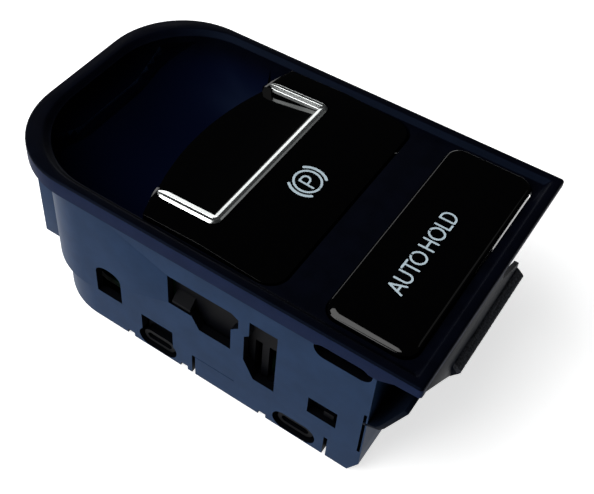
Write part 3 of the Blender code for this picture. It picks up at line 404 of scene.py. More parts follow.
def window(points, side):
    return prism(points, side * WINDOW_INNER_Y, side * (BODY_Y + WALL), "xz")


def pill(x, z, length, width, steps=8):
    radius = width / 2
    return rounded(x - length / 2, x + length / 2, z - radius, z + radius, (radius,) * 4, steps)


def rectangle(x0, x1, z0, z1):
    return ((x0, z0), (x1, z0), (x1, z1), (x0, z1))


def arch(x, z_top, width, height):
    points = [(x - width / 2, z_top - height), (x + width / 2, z_top - height),
              (x + width / 2, z_top - width / 3)]
    for step in range(1, 12):
        angle = math.pi * step / 12
        points.append((x + width / 2 * math.cos(angle),
                       z_top - width / 3 + width / 3 * math.sin(angle)))
    return points + [(x - width / 2, z_top - width / 3)]


MAIN_WINDOW = ((-0.0042, 0.0294), (0.0110, 0.0294), (0.0127, 0.0284), (0.0127, 0.0258),
               (0.0110, 0.0242), (0.0110, 0.0176), (0.0034, 0.0176), (0.0016, 0.0208),
               (-0.0042, 0.0208))
HEX_WINDOW = ((0.0152, 0.0298), (0.0215, 0.0298), (0.0215, 0.0120), (0.0166, 0.0120),
              (0.0141, 0.0168), (0.0141, 0.0244), (0.0152, 0.0254))
VENT = pill(0.0348, 0.0343, 0.0120, 0.0046)
FOOT_ARCH = arch(-0.0203, 0.0190, 0.0067, 0.0088)
SMALL_WINDOW = rectangle(0.0292, 0.0356, 0.0124, 0.0174)
END_SLIT = rectangle(0.0407, 0.0413, 0.0094, 0.0225)
SNAP_WINDOW = rectangle(-0.0117, -0.0035, 0.0050, 0.0109)
SNAP_XS = (-0.0076, 0.0267)
SNAP_Z = 0.0038
SNAP_SIZE = (0.0100, 0.0054)
BELOW = -0.001                # where the cutters of slits and notches start, under the walls
SLIT_XS = (0.0019, 0.0340)
SLIT_TOP = 0.0072
SLIT_HALF = 0.0004
NOTCH_XS = (-0.0150, -0.0006, 0.0192)
NOTCH_TOP = 0.0020
NOTCH_HALF = 0.0009
SCORE = rectangle(0.0019, 0.0121, 0.00705, 0.00725)       # line scored between the slits
SCORE_DEPTH = 0.0002


def side_cutters(side):
    """All openings, slits and notches of one side wall."""
    cutters = [window(outline, side) for outline in
               (MAIN_WINDOW, HEX_WINDOW, VENT, FOOT_ARCH, SMALL_WINDOW, END_SLIT, SNAP_WINDOW)]
    for x in SNAP_XS:
        cutters.append(window(pill(x, SNAP_Z, *SNAP_SIZE), side))
    for x in SLIT_XS:
        cutters.append(window(rectangle(x - SLIT_HALF, x + SLIT_HALF, BELOW, SLIT_TOP), side))
    for x in NOTCH_XS:
        cutters.append(window(rectangle(x - NOTCH_HALF, x + NOTCH_HALF, BELOW, NOTCH_TOP), side))
    cutters.append(prism(SCORE, side * (BODY_Y - SCORE_DEPTH), side * (BODY_Y + WALL), "xz"))
    return cutters


def make_bezel(surfaces_used):
    """The bezel with its rim and panel, and the finger well's bowl."""
    bezel = bezel_plate()
    add(bezel, loft(well_rings(WELL_WALL)))
    low = TOP - BEZEL_EDGE - WALL
    outline = [(END_EDGE[0][0], low)] + [(x, TOP - drop) for x, drop in END_EDGE]
    outline.append((END_EDGE[-1][0], low))
    cut(bezel, prism(outline, -BEZEL_Y - WALL, BEZEL_Y + WALL, "xz"))
    length, left = RIM_UNDERCUT
    cut(bezel, box(BEZEL_X - length, BEZEL_X + WALL, -BEZEL_Y + RIM_FRONT, BEZEL_Y + WALL,
                   TOP - BEZEL_EDGE, TOP - left))
    cut(bezel, prism(body_outline(WALL), low, PANEL_UNDER))
    add(bezel, loft(well_rings(WELL_WALL)))
    cut(bezel, panel_cutter())
    cut(bezel, loft(well_rings(0)))
    rocker_y = ROCKER_Y + ROCKER_GAP
    corner = ROCKER_CORNER + ROCKER_GAP
    room = rounded(LIP_X, ROCKER_X1 + ROCKER_BACK_GAP, -rocker_y, rocker_y,
                   (0, corner, corner, 0), 12)
    cut(bezel, prism(room, TOP - ROCKER_ROOM_DROP, TOP + WALL))
    hold_y = HOLD_Y + HOLD_GAP
    hold = rounded(HOLD_X0 - HOLD_GAP, HOLD_X1 + HOLD_GAP, -hold_y, hold_y,
                   (HOLD_CORNER + HOLD_GAP,) * 4, 10)
    cut(bezel, prism(hold, HOLD_ROOM_Z, TOP + WALL))
    for side in (-1, 1):
        cut(bezel, window(VENT, side))
    # Faces on the bezel's outer edge take the lighter second surface: painted light on the sides.
    return piece(bezel, "bezel", surfaces_used, "unit", ("housing",),
                 takes_second=on_bezel_side)


def inside_body(x, y, z):
    """Whether a place lies behind the body's outer surface."""
    x0 = BODY_X0 + (BODY_STEP if z < BODY_STEP_Z else 0.0)
    return within(x, y, x0, BODY_X1, BODY_Y, BODY_CORNER, SURFACE_DEPTH)


def make_body(surfaces_used):
    """The walls under the bezel with all their openings."""
    walls = prism(body_outline(0), BODY_STEP_Z, PANEL_UNDER + BODY_OVERLAP)
    add(walls, prism(body_outline(0, BODY_STEP), WALL_FOOT, BODY_STEP_Z + WALL))
    cut(walls, prism(body_outline(WALL), BODY_STEP_Z + WALL, TOP))
    cut(walls, prism(body_outline(WALL, BODY_STEP), -WALL, BODY_STEP_Z + 2 * WALL))
    cut(walls, loft(well_rings(0)))
    for side in (-1, 1):
        cut(walls, *side_cutters(side))
    cut(walls, prism(BODY_CHAMFER, -BEZEL_Y, BEZEL_Y, "xz"))
    hold_y = HOLD_Y + HOLD_GAP
    cut(walls, box(HOLD_X0 - HOLD_GAP, HOLD_X1, -hold_y, hold_y, TOP - HOLD_WALL_DROP, TOP))
    round_edges(walls, BODY_EDGE, 1, 40)
    # Faces behind the outer surface take the near-black second surface: painted shade inside the
    # openings.
    return piece(walls, "body_walls", surfaces_used, "unit",
                 takes_second=inside_body)


def make_ribs(surface):
    """The locating ribs at the finger well's end."""
    for name, side in (("rib_front", -1), ("rib_back", 1)):
        rib = box(BODY_X0 - RIB_REACH, BODY_X0 + RIB_ROOT, side * RIB_Y - RIB / 2,
                  side * RIB_Y + RIB / 2, RIB_FOOT, TOP - BEZEL_EDGE)
        cut(rib, loft(well_rings(WELL_WALL / 2)))
        round_edges(rib, RIB_EDGE, 3)
        piece(rib, name, [surface], "unit")


def make_end_parts(surface):
    """Lug, ledge and apron under the bezel's end."""
    lug = prism([(y, TOP - drop) for y, drop in LUG_OUTLINE], LUG_X - LUG, LUG_X, "yz")
    ledge = [(LUG_X + x, TOP - drop) for x, drop in LEDGE]
    add(lug, prism(ledge, -LEDGE_HALF, LEDGE_HALF, "xz"))
    round_edges(lug, BODY_EDGE, 2)
    piece(lug, "end_lug", [surface], "unit")
    line = [(LUG_X + x, TOP - drop) for x, drop in APRON_LINE]
    line.append((BODY_X1 - WALL / 2, TOP - APRON_FOOT_DROP))
    inner = [(x - APRON, z + APRON / 3) for x, z in line]
    inner[-1] = (line[-1][0], line[-1][1] + APRON)
    apron = prism(line + inner[::-1], -BODY_Y, LEDGE_HALF, "xz")
    round_edges(apron, BODY_EDGE, 2)
    piece(apron, "end_apron", [surface], "unit")


# Rocker, trim and hold button

def cheek_top(x):
    """Height of the rocker's top at x, beside the paddle and on its rear slope."""
    if x > CREST_X:
        return TOP - BACK_DROP * (x - CREST_X) / (ROCKER_X1 - CREST_X)
    if x > TRIM_X0:
        return TOP - CHEEK_DROP * (CREST_X - x) / (CREST_X - TRIM_X0)
    return TOP - CHEEK_DROP - (LIP_DROP - CHEEK_DROP) * (TRIM_X0 - x) / (TRIM_X0 - LIP_X)


def rocker_plan():
    points = rounded(ROCKER_X0, ROCKER_X1, -ROCKER_Y, ROCKER_Y,
                     (0, ROCKER_CORNER, ROCKER_CORNER, 0), 12)
    lip = []
    for step in range(33):
        y = LIP_HALF * (1 - step / 16)
        lip.append((LIP_X + LIP_BOW * (y / LIP_HALF) ** 2, y))
    return points + lip


def dish_cutter():
    """Cutter for the paddle's hollow between the trim's arms."""
    bar_x = TRIM_X1 - TRIM_WIDTH
    half = TRIM_HALF - TRIM_ARM_WIDTH
    end = LIP_X - WALL
    slope = (DISH_TIP_DROP - DISH_DEPTH) / (bar_x - LIP_X)
    dish = ((bar_x, TOP + WALL), (bar_x, TOP - DISH_DEPTH * 0.7),
            (bar_x - DISH_STEP, TOP - DISH_DEPTH - slope * DISH_STEP),
            (end, TOP - DISH_TIP_DROP - slope * WALL), (end, TOP + WALL))
    return prism(dish, -half, half, "xz")


def make_rocker(surface):
    profile = smooth_curve([(ROCKER_X1, cheek_top(ROCKER_X1)), (CREST_X, TOP),
                            (TRIM_X0, cheek_top(TRIM_X0)), (LIP_X, TOP - LIP_DROP)], 8, 0.14)
    profile += [(LIP_X, TOP - LIP_DROP - LIP_THICKNESS / 2),
                (LIP_X + LIP_THICKNESS / 2, TOP - LIP_DROP - LIP_THICKNESS),
                (ROCKER_X0, ROCKER_FRONT_Z), (ROCKER_STEP_X, ROCKER_FRONT_Z),
                (ROCKER_STEP_X, ROCKER_SKIRT_Z), (ROCKER_X1, ROCKER_SKIRT_Z)]
    rocker = prism(profile, -ROCKER_Y, ROCKER_Y, "xz")
    low = ROCKER_SKIRT_Z - WALL
    combine(rocker, (prism(rocker_plan(), low, TOP + WALL),), "INTERSECT")
    round_edges(rocker, ROCKER_EDGE, 4)
    shell = ROCKER_SHELL
    hollow = ((ROCKER_X1 - shell, TOP - BACK_DROP - shell + ROCKER_ROOF_RISE),
              (CREST_X, TOP - shell), (ROCKER_X0 + shell, TOP - shell - LIP_DROP / 2),
              (ROCKER_X0 + shell, low), (ROCKER_X1 - shell, low))
    cut(rocker, prism(hollow, -ROCKER_Y + shell, ROCKER_Y - shell, "xz"))
    cut(rocker, dish_cutter())
    cut(rocker, trim_groove())
    pivot_x, pivot_z = PIVOT
    ear_outline = ((pivot_x - EAR_HALF, pivot_z), (pivot_x - EAR_HALF, EAR_TOPS[0]),
                   (pivot_x + EAR_HALF, EAR_TOPS[1]), (pivot_x + EAR_HALF, pivot_z))
    for side in (-1, 1):
        y0, y1 = sorted(side * y for y in EAR_Y)
        ear = prism(ear_outline, y0, y1, "xz")
        add(ear, prism(pill(*PIVOT, 2 * EAR_HALF, 2 * EAR_HALF), y0, y1, "xz"))
        cut(ear, prism(pill(*PIVOT, PIVOT_BORE, PIVOT_BORE), y0 - WALL, y1 + WALL, "xz"))
        add(rocker, ear)
    for x, top in PADS:
        for y, radius in PAD_ROWS:
            pad = rounded(x - radius, x + radius, y - radius, y + radius, (radius,) * 4, 6)
            add(rocker, prism(pad, PAD_Z, top))
    return piece(rocker, "rocker", [surface], "rocker", ("parking_rocker",))


def trim_path(steps=10):
    """Middle line of the U, with the direction that points outwards at each place."""
    half = TRIM_HALF - TRIM_ARM_WIDTH / 2
    x1 = TRIM_X1 - TRIM_WIDTH / 2
    radius = TRIM_CORNER - TRIM_WIDTH / 2 + TRIM_BEND
    path = []
    for step in range(steps):
        path.append((TRIM_X0 + (x1 - radius - TRIM_X0) * step / steps, -half, 0.0, -1.0))
    for step in range(steps + 1):
        angle = math.radians(-90 + 90 * step / steps)
        out_x, out_y = math.cos(angle), math.sin(angle)
        path.append((x1 - radius + radius * out_x, -half + radius + radius * out_y, out_x, out_y))
    middle = (x1, 0.0, 1.0, 0.0)
    return path + [middle] + [(x, -y, out_x, -out_y) for x, y, out_x, out_y in path[::-1]]


def tip_share(x):
    """Width of the trim at x as a share of its full width, which it loses at its tips."""
    grown = math.sqrt(max(x - TRIM_X0, 0.0) / TRIM_TAPER)
    return min(1.0, TRIM_TIP + (1 - TRIM_TIP) * grown)


def trim_groove():
    """Cutter for the groove that the trim lies in, as narrow at the tips as the trim is."""
    gap = TRIM_GAP
    middle = TRIM_HALF - TRIM_ARM_WIDTH / 2
    corner = TRIM_CORNER + gap
    outer = []
    inner = []
    for step in range(8):
        x = TRIM_X0 + TRIM_GROOVE_TIP * step / 7
        reach = TRIM_ARM_WIDTH / 2 * tip_share(x) + gap
        outer.append((x, -middle - reach))
        inner.append((x, -middle + reach))
    for step in range(9):
        angle = math.radians(90 * step / 8)
        outer.append((TRIM_X1 + gap - corner * (1 - math.sin(angle)),
                      -TRIM_HALF - gap + corner * (1 - math.cos(angle))))
    inner.append((TRIM_X1 - TRIM_WIDTH - gap, -middle + TRIM_ARM_WIDTH / 2 + gap))
    near = inner[::-1] + outer
    return prism(near + [(x, -y) for x, y in near[::-1]], TOP - TRIM_GROOVE_DROP,
                 TOP + WALL)


# Section of the trim: across it as a share of its half width, and height in millimetres
TRIM_PROFILE = ((-1.0, -0.90), (-1.0, -0.06), (-0.96, 0.00), (-0.20, 0.25), (-0.13, 0.25),
                (-0.09, 0.19), (-0.05, 0.19), (0.00, 0.22), (0.52, 0.28), (0.60, 0.26),
                (0.96, -0.04), (1.0, -0.10), (1.0, -0.90))


def make_trim(surface):
    """The bright band: a bevel at each side and a flat between them, with tapering tips."""
    rings = []
    for x, y, out_x, out_y in trim_path(14):
        share = tip_share(x)
        half_width = share * math.hypot(out_x * TRIM_WIDTH, out_y * TRIM_ARM_WIDTH) / 2
        top = cheek_top(x)
        ring = []
        for u, v in TRIM_PROFILE:
            u *= half_width
            v = 0.001 * v * (share if v > 0 else 1.0)
            ring.append((x + out_x * u, y + out_y * u, top + v))
        rings.append(ring)
    return piece(loft(rings), "trim", [surface], "rocker", ("chrome_trim",), 12)


def make_hold_button(surface):
    """A pillow-shaped cap, flatter towards its outer long side, with its posts and stem."""
    levels = [(0.0, HOLD_SKIRT_Z)]
    for step in range(13):
        angle = math.radians(7.5 * step)
        levels.append((1 - math.cos(angle), HOLD_TOP - HOLD_EDGE * (1 - math.sin(angle))))
    left, right, front, back = HOLD_INSETS
    rings = []
    for share, z in levels:
        corner = HOLD_CORNER - left * share
        outline = rounded(HOLD_X0 + left * share, HOLD_X1 - right * share,
                          -HOLD_Y + front * share, HOLD_Y - back * share, (corner,) * 4, 12)
        rings.append([(x, y, z) for x, y in outline])
    button = loft(rings)
    inner_y = HOLD_Y - HOLD_SHELL
    cut(button, box(HOLD_X0 + HOLD_SHELL, HOLD_X1 - HOLD_SHELL_END, -inner_y, inner_y,
                    HOLD_SKIRT_Z - WALL, HOLD_TOP - HOLD_SHELL))
    radius = HOLD_STUD_RADIUS
    for x, y, low in HOLD_STUDS:
        post = rounded(x - radius, x + radius, y - radius, y + radius, (radius,) * 4, 6)
        add(button, prism(post, low, HOLD_TOP - HOLD_SHELL + OVERLAP))
    return piece(button, "button", [surface], "hold_button", ("hold_button",))


def make_felt(surface):
    """The felt strip, with an uneven fibrous face."""
    rough = random.Random(5)
    ledge_x, ledge_drop = LEDGE[2]
    low = TOP - LEDGE[1][1]
    high = low + FELT
    stations = 110
    across = 9
    rings = []
    for station in range(stations + 1):
        y = -LEDGE_HALF + 2 * LEDGE_HALF * station / stations
        ring = [(LUG_X, y, low)]
        for step in range(across + 1):
            share = step / across
            fuzz = 0.0 if station in (0, stations) else rough.uniform(0.0, FELT_FUZZ)
            sink = fuzz + FELT_EDGE * (2 * abs(share - 0.5)) ** 6
            ring.append((LUG_X + FELT_OUT * share - FELT_NORMAL[0] * sink, y,
                         high - FELT_FALL * share - FELT_NORMAL[1] * sink))
        ring.append((LUG_X + ledge_x, y, TOP - ledge_drop))
        rings.append(ring)
    return piece(loft(rings), "felt", [surface], "unit", ("felt_strip",), 60)


# Legends, drawn as thin raised strokes

def stroke(points, width):
    """A flat strip along a line of (x, y) points, with round ends."""
    left, right = [], []
    for index, (x, y) in enumerate(points):
        x0, y0 = points[max(index - 1, 0)]
        x1, y1 = points[min(index + 1, len(points) - 1)]
        length = math.hypot(x1 - x0, y1 - y0)
        along = ((x1 - x0) / length, (y1 - y0) / length)
        left.append((x - along[1] * width / 2, y + along[0] * width / 2))
        right.append((x + along[1] * width / 2, y - along[0] * width / 2))

    def cap(start, centre):
        reach = [start[0] - centre[0], start[1] - centre[1]]
        result = []
        for step in range(1, 8):
            angle = -math.pi * step / 8
            result.append((centre[0] + reach[0] * math.cos(angle) - reach[1] * math.sin(angle),
                           centre[1] + reach[0] * math.sin(angle) + reach[1] * math.cos(angle)))
        return result

    outline = left + cap(left[-1], points[-1]) + right[::-1] + cap(right[0], points[0])
    return prism(outline, -LEGEND_ROOT, LEGEND_HEIGHT)


def arc(x, y, radius_x, radius_y, start, end, steps=28):
    points = []
    for step in range(steps + 1):
        angle = math.radians(start + (end - start) * step / steps)
        points.append((x + radius_x * math.cos(angle), y + radius_y * math.sin(angle)))
    return points


def millimetres(points):
    return [(x * 0.001, y * 0.001) for x, y in points]


def join(strokes):
    return add(*strokes)


# Centre lines of the letters in millimetres: place along the word and height above its foot
WORD_FOOT_X = 0.0376
LETTERS = {
    "a": [[(-14.95, 0), (-13.82, 3.0)], [(-13.82, 3.0), (-12.68, 0)],
          [(-14.55, 1.0), (-13.08, 1.0)]],
    "u": [[(-12.0, 3.0)] + arc(-10.97, 1.03, 1.03, 1.03, 180, 360) + [(-9.94, 3.0)]],
    "t": [[(-9.3, 3.0), (-7.1, 3.0)], [(-8.2, 3.0), (-8.2, 0)]],
    "o": [arc(-5.5, 1.5, 1.43, 1.5, 90, 450)],
    "h": [[(-2.6, 0), (-2.6, 3.0)], [(-0.52, 0), (-0.52, 3.0)], [(-2.6, 1.55), (-0.52, 1.55)]],
    "o_second": [arc(1.75, 1.5, 1.4, 1.5, 90, 450)],
    "l": [[(3.93, 3.0), (3.93, 0)], [(3.93, 0), (5.2, 0)]],
    "d": [[(5.88, 0), (5.88, 3.0)], [(5.88, 3.0)] + arc(6.5, 1.5, 1.35, 1.5, 90, -90) +
          [(5.88, 0)]],
}


def make_hold_legend(surface):
    for name, lines in LETTERS.items():
        strokes = [stroke([(WORD_FOOT_X - t * 0.001, s * 0.001) for s, t in line], LETTER_STROKE)
                   for line in lines]
        letter = join(strokes)
        letter.data.transform(Matrix.Translation((0.0, 0.0, HOLD_TOP)))
        piece(letter, "legend_" + name, [surface], "hold_button")


# The symbol in millimetres: its middle, radii and stroke widths
SYMBOL = (8.85, -0.3)
RING_RADIUS = 2.83
ARC_RADIUS = 3.83
ARC_HALF = 44                 # degrees to each side
RING_STROKE = 0.48
ARC_STROKE = 0.60
SYMBOL_LETTER_STROKE = 0.42


def make_symbol(surface):
    """The parking brake symbol: a letter in a ring between two arcs."""
    x, y = SYMBOL
    foot_x = x - 1.45
    foot_y = y - 0.80
    bowl = arc(x - 0.55, y + 0.16, 0.90, 0.93, 180, 0)
    parts = {
        "ring": [(arc(x, y, RING_RADIUS, RING_RADIUS, 0, 360, 64), RING_STROKE)],
        "arc_front": [(arc(x, y, ARC_RADIUS, ARC_RADIUS, -90 - ARC_HALF, -90 + ARC_HALF),
                       ARC_STROKE)],
        "arc_back": [(arc(x, y, ARC_RADIUS, ARC_RADIUS, 90 - ARC_HALF, 90 + ARC_HALF),
                      ARC_STROKE)],
        "letter": [([(x + 1.82, foot_y), (foot_x, foot_y)], SYMBOL_LETTER_STROKE),
                   ([(foot_x, foot_y)] + bowl + [(x + 0.35, foot_y)], SYMBOL_LETTER_STROKE)],
    }
    for name, lines in parts.items():
        strokes = [stroke(millimetres(line), width * 0.001) for line, width in lines]
        mark = join(strokes)
        for vertex in mark.data.vertices:
            vertex.co.z += cheek_top(vertex.co.x)
        piece(mark, "symbol_" + name, [surface], "rocker")


# Materials

def material(name, colour, roughness, metallic=0.0, grain=None, mottle=None, ior=1.5,
             tint=None, transmission=0.0):
    """A finish with fine grain in its relief, and mottling in its colour."""
    made = bpy.data.materials.new(name)
    made.use_nodes = True
    tree = made.node_tree
    shader = tree.nodes["Principled BSDF"]
    shader.inputs["Base Color"].default_value = (*colour, 1.0)
    shader.inputs["Roughness"].default_value = roughness
    shader.inputs["Metallic"].default_value = metallic
    shader.inputs["IOR"].default_value = ior
    shader.inputs["Transmission Weight"].default_value = transmission
    if tint:
        shader.inputs["Specular Tint"].default_value = (*tint, 1.0)
    place = tree.nodes.new("ShaderNodeTexCoord")
    scale, strength, depth = grain if grain else (4000.0, 0.02, 0.00001)
    noise = tree.nodes.new("ShaderNodeTexNoise")
    noise.inputs["Scale"].default_value = scale
    noise.inputs["Detail"].default_value = 3.0
    bump = tree.nodes.new("ShaderNodeBump")
    bump.inputs["Strength"].default_value = strength
    bump.inputs["Distance"].default_value = depth
    tree.links.new(place.outputs["Object"], noise.inputs["Vector"])
    tree.links.new(noise.outputs["Fac"], bump.inputs["Height"])
    tree.links.new(bump.outputs["Normal"], shader.inputs["Normal"])
    spots_scale, low, high = mottle if mottle else (300.0, 0.94, 1.06)
    spots = tree.nodes.new("ShaderNodeTexNoise")
    spots.inputs["Scale"].default_value = spots_scale
    spots.inputs["Detail"].default_value = 4.0
    ramp = tree.nodes.new("ShaderNodeValToRGB")
    ramp.color_ramp.elements[0].position = 0.35
    ramp.color_ramp.elements[1].position = 0.65
    ramp.color_ramp.elements[0].color = (*(min(c * low, 1.0) for c in colour), 1.0)
    ramp.color_ramp.elements[1].color = (*(min(c * high, 1.0) for c in colour), 1.0)
    tree.links.new(place.outputs["Object"], spots.inputs["Vector"])
    tree.links.new(spots.outputs["Fac"], ramp.inputs["Fac"])
    tree.links.new(ramp.outputs["Color"], shader.inputs["Base Color"])
    return made


# Painted reflection colour: the dark plastics' reflections are tinted blue, standing in for bluish
# light.
PAINTED_BLUE_REFLECTION_TINT = (0.30, 0.50, 1.0)
# Painted glow: bluish light reflected in the finger well, painted as a bluer base colour.
WELL_PAINTED_GLOW = (0.0008, 0.0018, 0.0095)


def bezel_shader_with_painted_glow():
    """The bezel's dark plastic, with a painted glow: a bluer base colour deeper in the finger well
    stands in for bluish light reflected there.
    """
    made = material("bezel_plastic_with_painted_glow", (0.0010, 0.0013, 0.0034), 0.42, ior=1.13, tint=PAINTED_BLUE_REFLECTION_TINT,
                    grain=(2600.0, 0.25, 0.00003), mottle=(260.0, 0.8, 1.2))
    tree = made.node_tree
    shader = tree.nodes["Principled BSDF"]
    upper = shader.inputs["Base Color"].links[0].from_socket
    place = tree.nodes.new("ShaderNodeTexCoord")
    height = tree.nodes.new("ShaderNodeSeparateXYZ")
    tree.links.new(place.outputs["Object"], height.inputs[0])
    depth = tree.nodes.new("ShaderNodeMapRange")
    # Painted glow: deeper in the well the base colour blends towards the painted glow colour.
    depth.interpolation_type = "SMOOTHSTEP"
    depth.inputs["From Min"].default_value = TOP - 0.002
    depth.inputs["From Max"].default_value = TOP - 0.009
    tree.links.new(height.outputs["Z"], depth.inputs["Value"])
    blend = tree.nodes.new("ShaderNodeMix")
    blend.data_type = "RGBA"
    blend.inputs["B"].default_value = (*WELL_PAINTED_GLOW, 1.0)
    tree.links.new(depth.outputs["Result"], blend.inputs["Factor"])
    tree.links.new(upper, blend.inputs["A"])
    tree.links.new(blend.outputs["Result"], shader.inputs["Base Color"])
    return made


def make_materials():
    return {
        "bezel": bezel_shader_with_painted_glow(),
        # Painted light: the bezel's outer edge is a lighter, lit copy of its dark plastic, as the
        # sides catch light that the top doesn't.
        "bezel_side": material("bezel_side_painted_light", (0.0087, 0.0147, 0.0410), 0.42, ior=1.06,
                               tint=PAINTED_BLUE_REFLECTION_TINT, grain=(2600.0, 0.2, 0.00003),
                               mottle=(260.0, 0.92, 1.08)),
        # Painted light: the walls' slate blue is a lit copy of the bezel's dark plastic, lighter
        # because light falls on the sides.
        "body": material("body_plastic_painted_lit", (0.0150, 0.0330, 0.0760), 0.40, ior=1.09,
                         tint=PAINTED_BLUE_REFLECTION_TINT, grain=(1800.0, 0.2, 0.00004),
                         mottle=(220.0, 0.92, 1.08)),
        # Painted shade: the lug and apron under the bezel's end are a darker, shaded copy of the
        # body's plastic.
        "end": material("end_plastic_painted_shade", (0.0022, 0.0036, 0.0075), 0.42, ior=1.08,
                        tint=PAINTED_BLUE_REFLECTION_TINT, grain=(1800.0, 0.2, 0.00004),
                        mottle=(220.0, 0.9, 1.1)),
        "gloss": material("piano_black", (0.0002, 0.0002, 0.0003), 0.07, ior=1.38,
                          grain=(900.0, 0.01, 0.00002), mottle=(500.0, 0.8, 1.2)),
        "chrome": material("satin_chrome", (0.82, 0.85, 0.84), 0.20, 1.0,
                           grain=(3000.0, 0.03, 0.00001), mottle=(700.0, 0.97, 1.0)),
        "legend": material("legend_white", (0.52, 0.64, 0.71), 0.5,
                           grain=(3000.0, 0.05, 0.00001), mottle=(900.0, 0.95, 1.05)),
        "felt": material("felt_grey", (0.016, 0.018, 0.024), 0.95,
                         grain=(2200.0, 0.9, 0.00012), mottle=(2600.0, 0.25, 3.2)),
        # Near-black plastic of the inner parts, also used as painted shade on the inner faces of the
        # body's walls.
        "inner_black": material("inner_plastic_and_painted_shade", (0.0009, 0.0011, 0.0020), 0.5, ior=1.12,
                                grain=(1500.0, 0.15, 0.00003), mottle=(300.0, 0.8, 1.2)),
        "pin_steel": material("pin_steel", (0.55, 0.55, 0.56), 0.3, 1.0),
        "spring_steel": material("spring_steel", (0.45, 0.45, 0.47), 0.35, 1.0),
        "plunger_white": material("plunger_white", (0.70, 0.70, 0.66), 0.45),
        "clear_guide": material("clear_guide", (0.85, 0.88, 0.90), 0.08, transmission=0.9),
        "led_body": material("led_body", (0.80, 0.76, 0.55), 0.35),
        "silicone": material("silicone", (0.30, 0.31, 0.33), 0.6),
        "board_green": material("board_green", (0.006, 0.030, 0.012), 0.4, ior=1.3,
                                mottle=(900.0, 0.8, 1.25)),
        "chip_epoxy": material("chip_epoxy", (0.02, 0.02, 0.02), 0.6),
        "connector_black": material("connector_black", (0.015, 0.015, 0.017), 0.5),
        "contact_tin": material("contact_tin", (0.62, 0.58, 0.46), 0.3, 1.0),
    }


def node_slots():
    """Material of each CAD node that the scene shows as it is."""
    slots = {"switch_carrier": "inner_black", "bottom_cover": "inner_black",
             "push_plunger": "plunger_white", "pull_plunger": "plunger_white",
             "parking_light_guide": "clear_guide", "hold_light_guide": "clear_guide",
             "parking_led": "led_body", "hold_led_front": "led_body",
             "hold_led_back": "led_body", "switch_mat": "silicone",
             "circuit_board": "board_green", "control_chip": "chip_epoxy",
             "pin_header": "connector_black"}
    for end in ("front", "back"):
        slots["pivot_pin_" + end] = "pin_steel"
        for spring in ("push", "pull", "hold"):
            slots[f"{spring}_spring_{end}"] = "spring_steel"
    for number in range(1, 7):
        slots[f"connector_pin_{number}"] = "contact_tin"
    return slots


# Stage

def make_camera():
    """Camera that looks at the target from the solved direction, rolled about its axis."""
    azimuth = math.radians(CAMERA_AZIMUTH)
    elevation = math.radians(CAMERA_ELEVATION)
    back = Vector((math.sin(azimuth) * math.cos(elevation), -math.cos(azimuth) * math.cos(elevation),
                   math.sin(elevation)))
    right = Vector((math.cos(azimuth), math.sin(azimuth), 0.0))
    up = back.cross(right)
    turn = Matrix.Rotation(math.radians(CAMERA_ROLL), 3, back)
    axes = Matrix((turn @ right, turn @ up, back)).transposed()
    data = bpy.data.cameras.new("camera")
    data.lens = CAMERA_LENS
    data.shift_x, data.shift_y = CAMERA_SHIFT
    data.clip_start = 0.01
    camera = bpy.data.objects.new("camera", data)
    place = Vector(CAMERA_TARGET) + back * CAMERA_DISTANCE
    camera.matrix_world = Matrix.Translation(place) @ axes.to_4x4()
    bpy.context.collection.objects.link(camera)
    bpy.context.scene.camera = camera


FLOOR_GLOW = 0.7


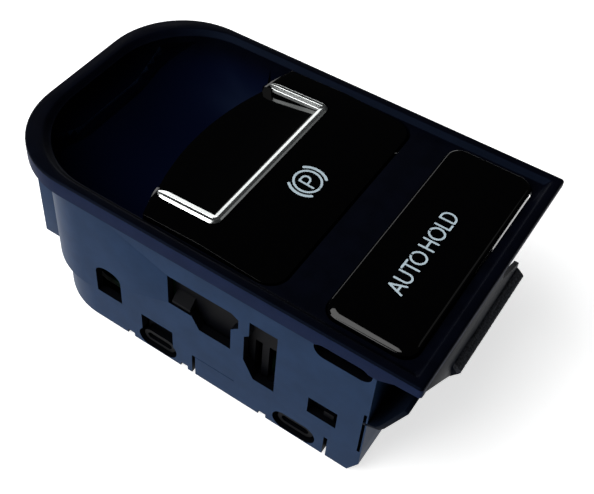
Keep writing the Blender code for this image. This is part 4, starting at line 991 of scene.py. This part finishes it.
def make_floor():
    """A white floor, which is plain white to the camera where no shadow falls on it."""
    mesh = bpy.data.meshes.new("floor")
    bm = bmesh.new()
    bmesh.ops.create_circle(bm, cap_ends=True, segments=64, radius=3.0)
    bm.to_mesh(mesh)
    bm.free()
    floor = bpy.data.objects.new("floor", mesh)
    bpy.context.collection.objects.link(floor)
    white = bpy.data.materials.new("floor_white")
    white.use_nodes = True
    tree = white.node_tree
    shader = tree.nodes["Principled BSDF"]
    shader.inputs["Base Color"].default_value = (0.86, 0.86, 0.86, 1.0)
    shader.inputs["Roughness"].default_value = 1.0
    shader.inputs["Specular IOR Level"].default_value = 0.0
    path = tree.nodes.new("ShaderNodeLightPath")
    seen = path.outputs["Is Camera Ray"]
    for name in ("Is Glossy Ray", "Is Transmission Ray"):
        either = tree.nodes.new("ShaderNodeMath")
        either.operation = "MAXIMUM"
        tree.links.new(seen, either.inputs[0])
        tree.links.new(path.outputs[name], either.inputs[1])
        seen = either.outputs[0]
    scaled = tree.nodes.new("ShaderNodeMath")
    scaled.operation = "MULTIPLY"
    scaled.inputs[1].default_value = FLOOR_GLOW
    tree.links.new(seen, scaled.inputs[0])
    shader.inputs["Emission Color"].default_value = (1.0, 1.0, 1.0, 1.0)
    tree.links.new(scaled.outputs[0], shader.inputs["Emission Strength"])
    mesh.materials.append(white)


def area_light(name, place, target, size, power):
    data = bpy.data.lights.new(name, "AREA")
    data.shape = "RECTANGLE"
    data.size, data.size_y = size
    data.energy = power
    lamp = bpy.data.objects.new(name, data)
    lamp.location = place
    direction = Vector(target) - Vector(place)
    lamp.rotation_euler = direction.to_track_quat("-Z", "Y").to_euler()
    bpy.context.collection.objects.link(lamp)


def make_lights():
    world = bpy.data.worlds.new("world")
    bpy.context.scene.world = world
    world.use_nodes = True
    background = world.node_tree.nodes["Background"]
    background.inputs["Color"].default_value = (0.92, 0.96, 1.0, 1.0)
    background.inputs["Strength"].default_value = 0.02
    middle = (0.0, 0.0, 0.02)
    area_light("key", (-0.50, -0.50, 1.0), middle, (1.1, 1.1), 15.0)
    area_light("low_front", (-0.6, -1.1, 0.40), middle, (1.0, 0.5), 7.0)
    area_light("back_left", (-0.80, 0.85, 0.26), middle, (1.0, 0.4), 2.0)
    area_light("back_right", (0.75, 0.66, 0.70), middle, (0.5, 0.4), 0.15)


surfaces = make_materials()
for node_name, surface_name in node_slots().items():
    node_mesh = nodes[node_name].data
    node_mesh.materials.clear()
    node_mesh.materials.append(surfaces[surface_name])

make_bezel([surfaces["bezel"], surfaces["bezel_side"]])
make_body([surfaces["body"], surfaces["inner_black"]])
make_ribs(surfaces["body"])
make_end_parts(surfaces["end"])
make_rocker(surfaces["gloss"])
make_trim(surfaces["chrome"])
make_hold_button(surfaces["gloss"])
make_felt(surfaces["felt"])
make_hold_legend(surfaces["legend"])
make_symbol(surfaces["legend"])

make_camera()
make_floor()
make_lights()
bpy.context.scene.view_settings.view_transform = "Standard"
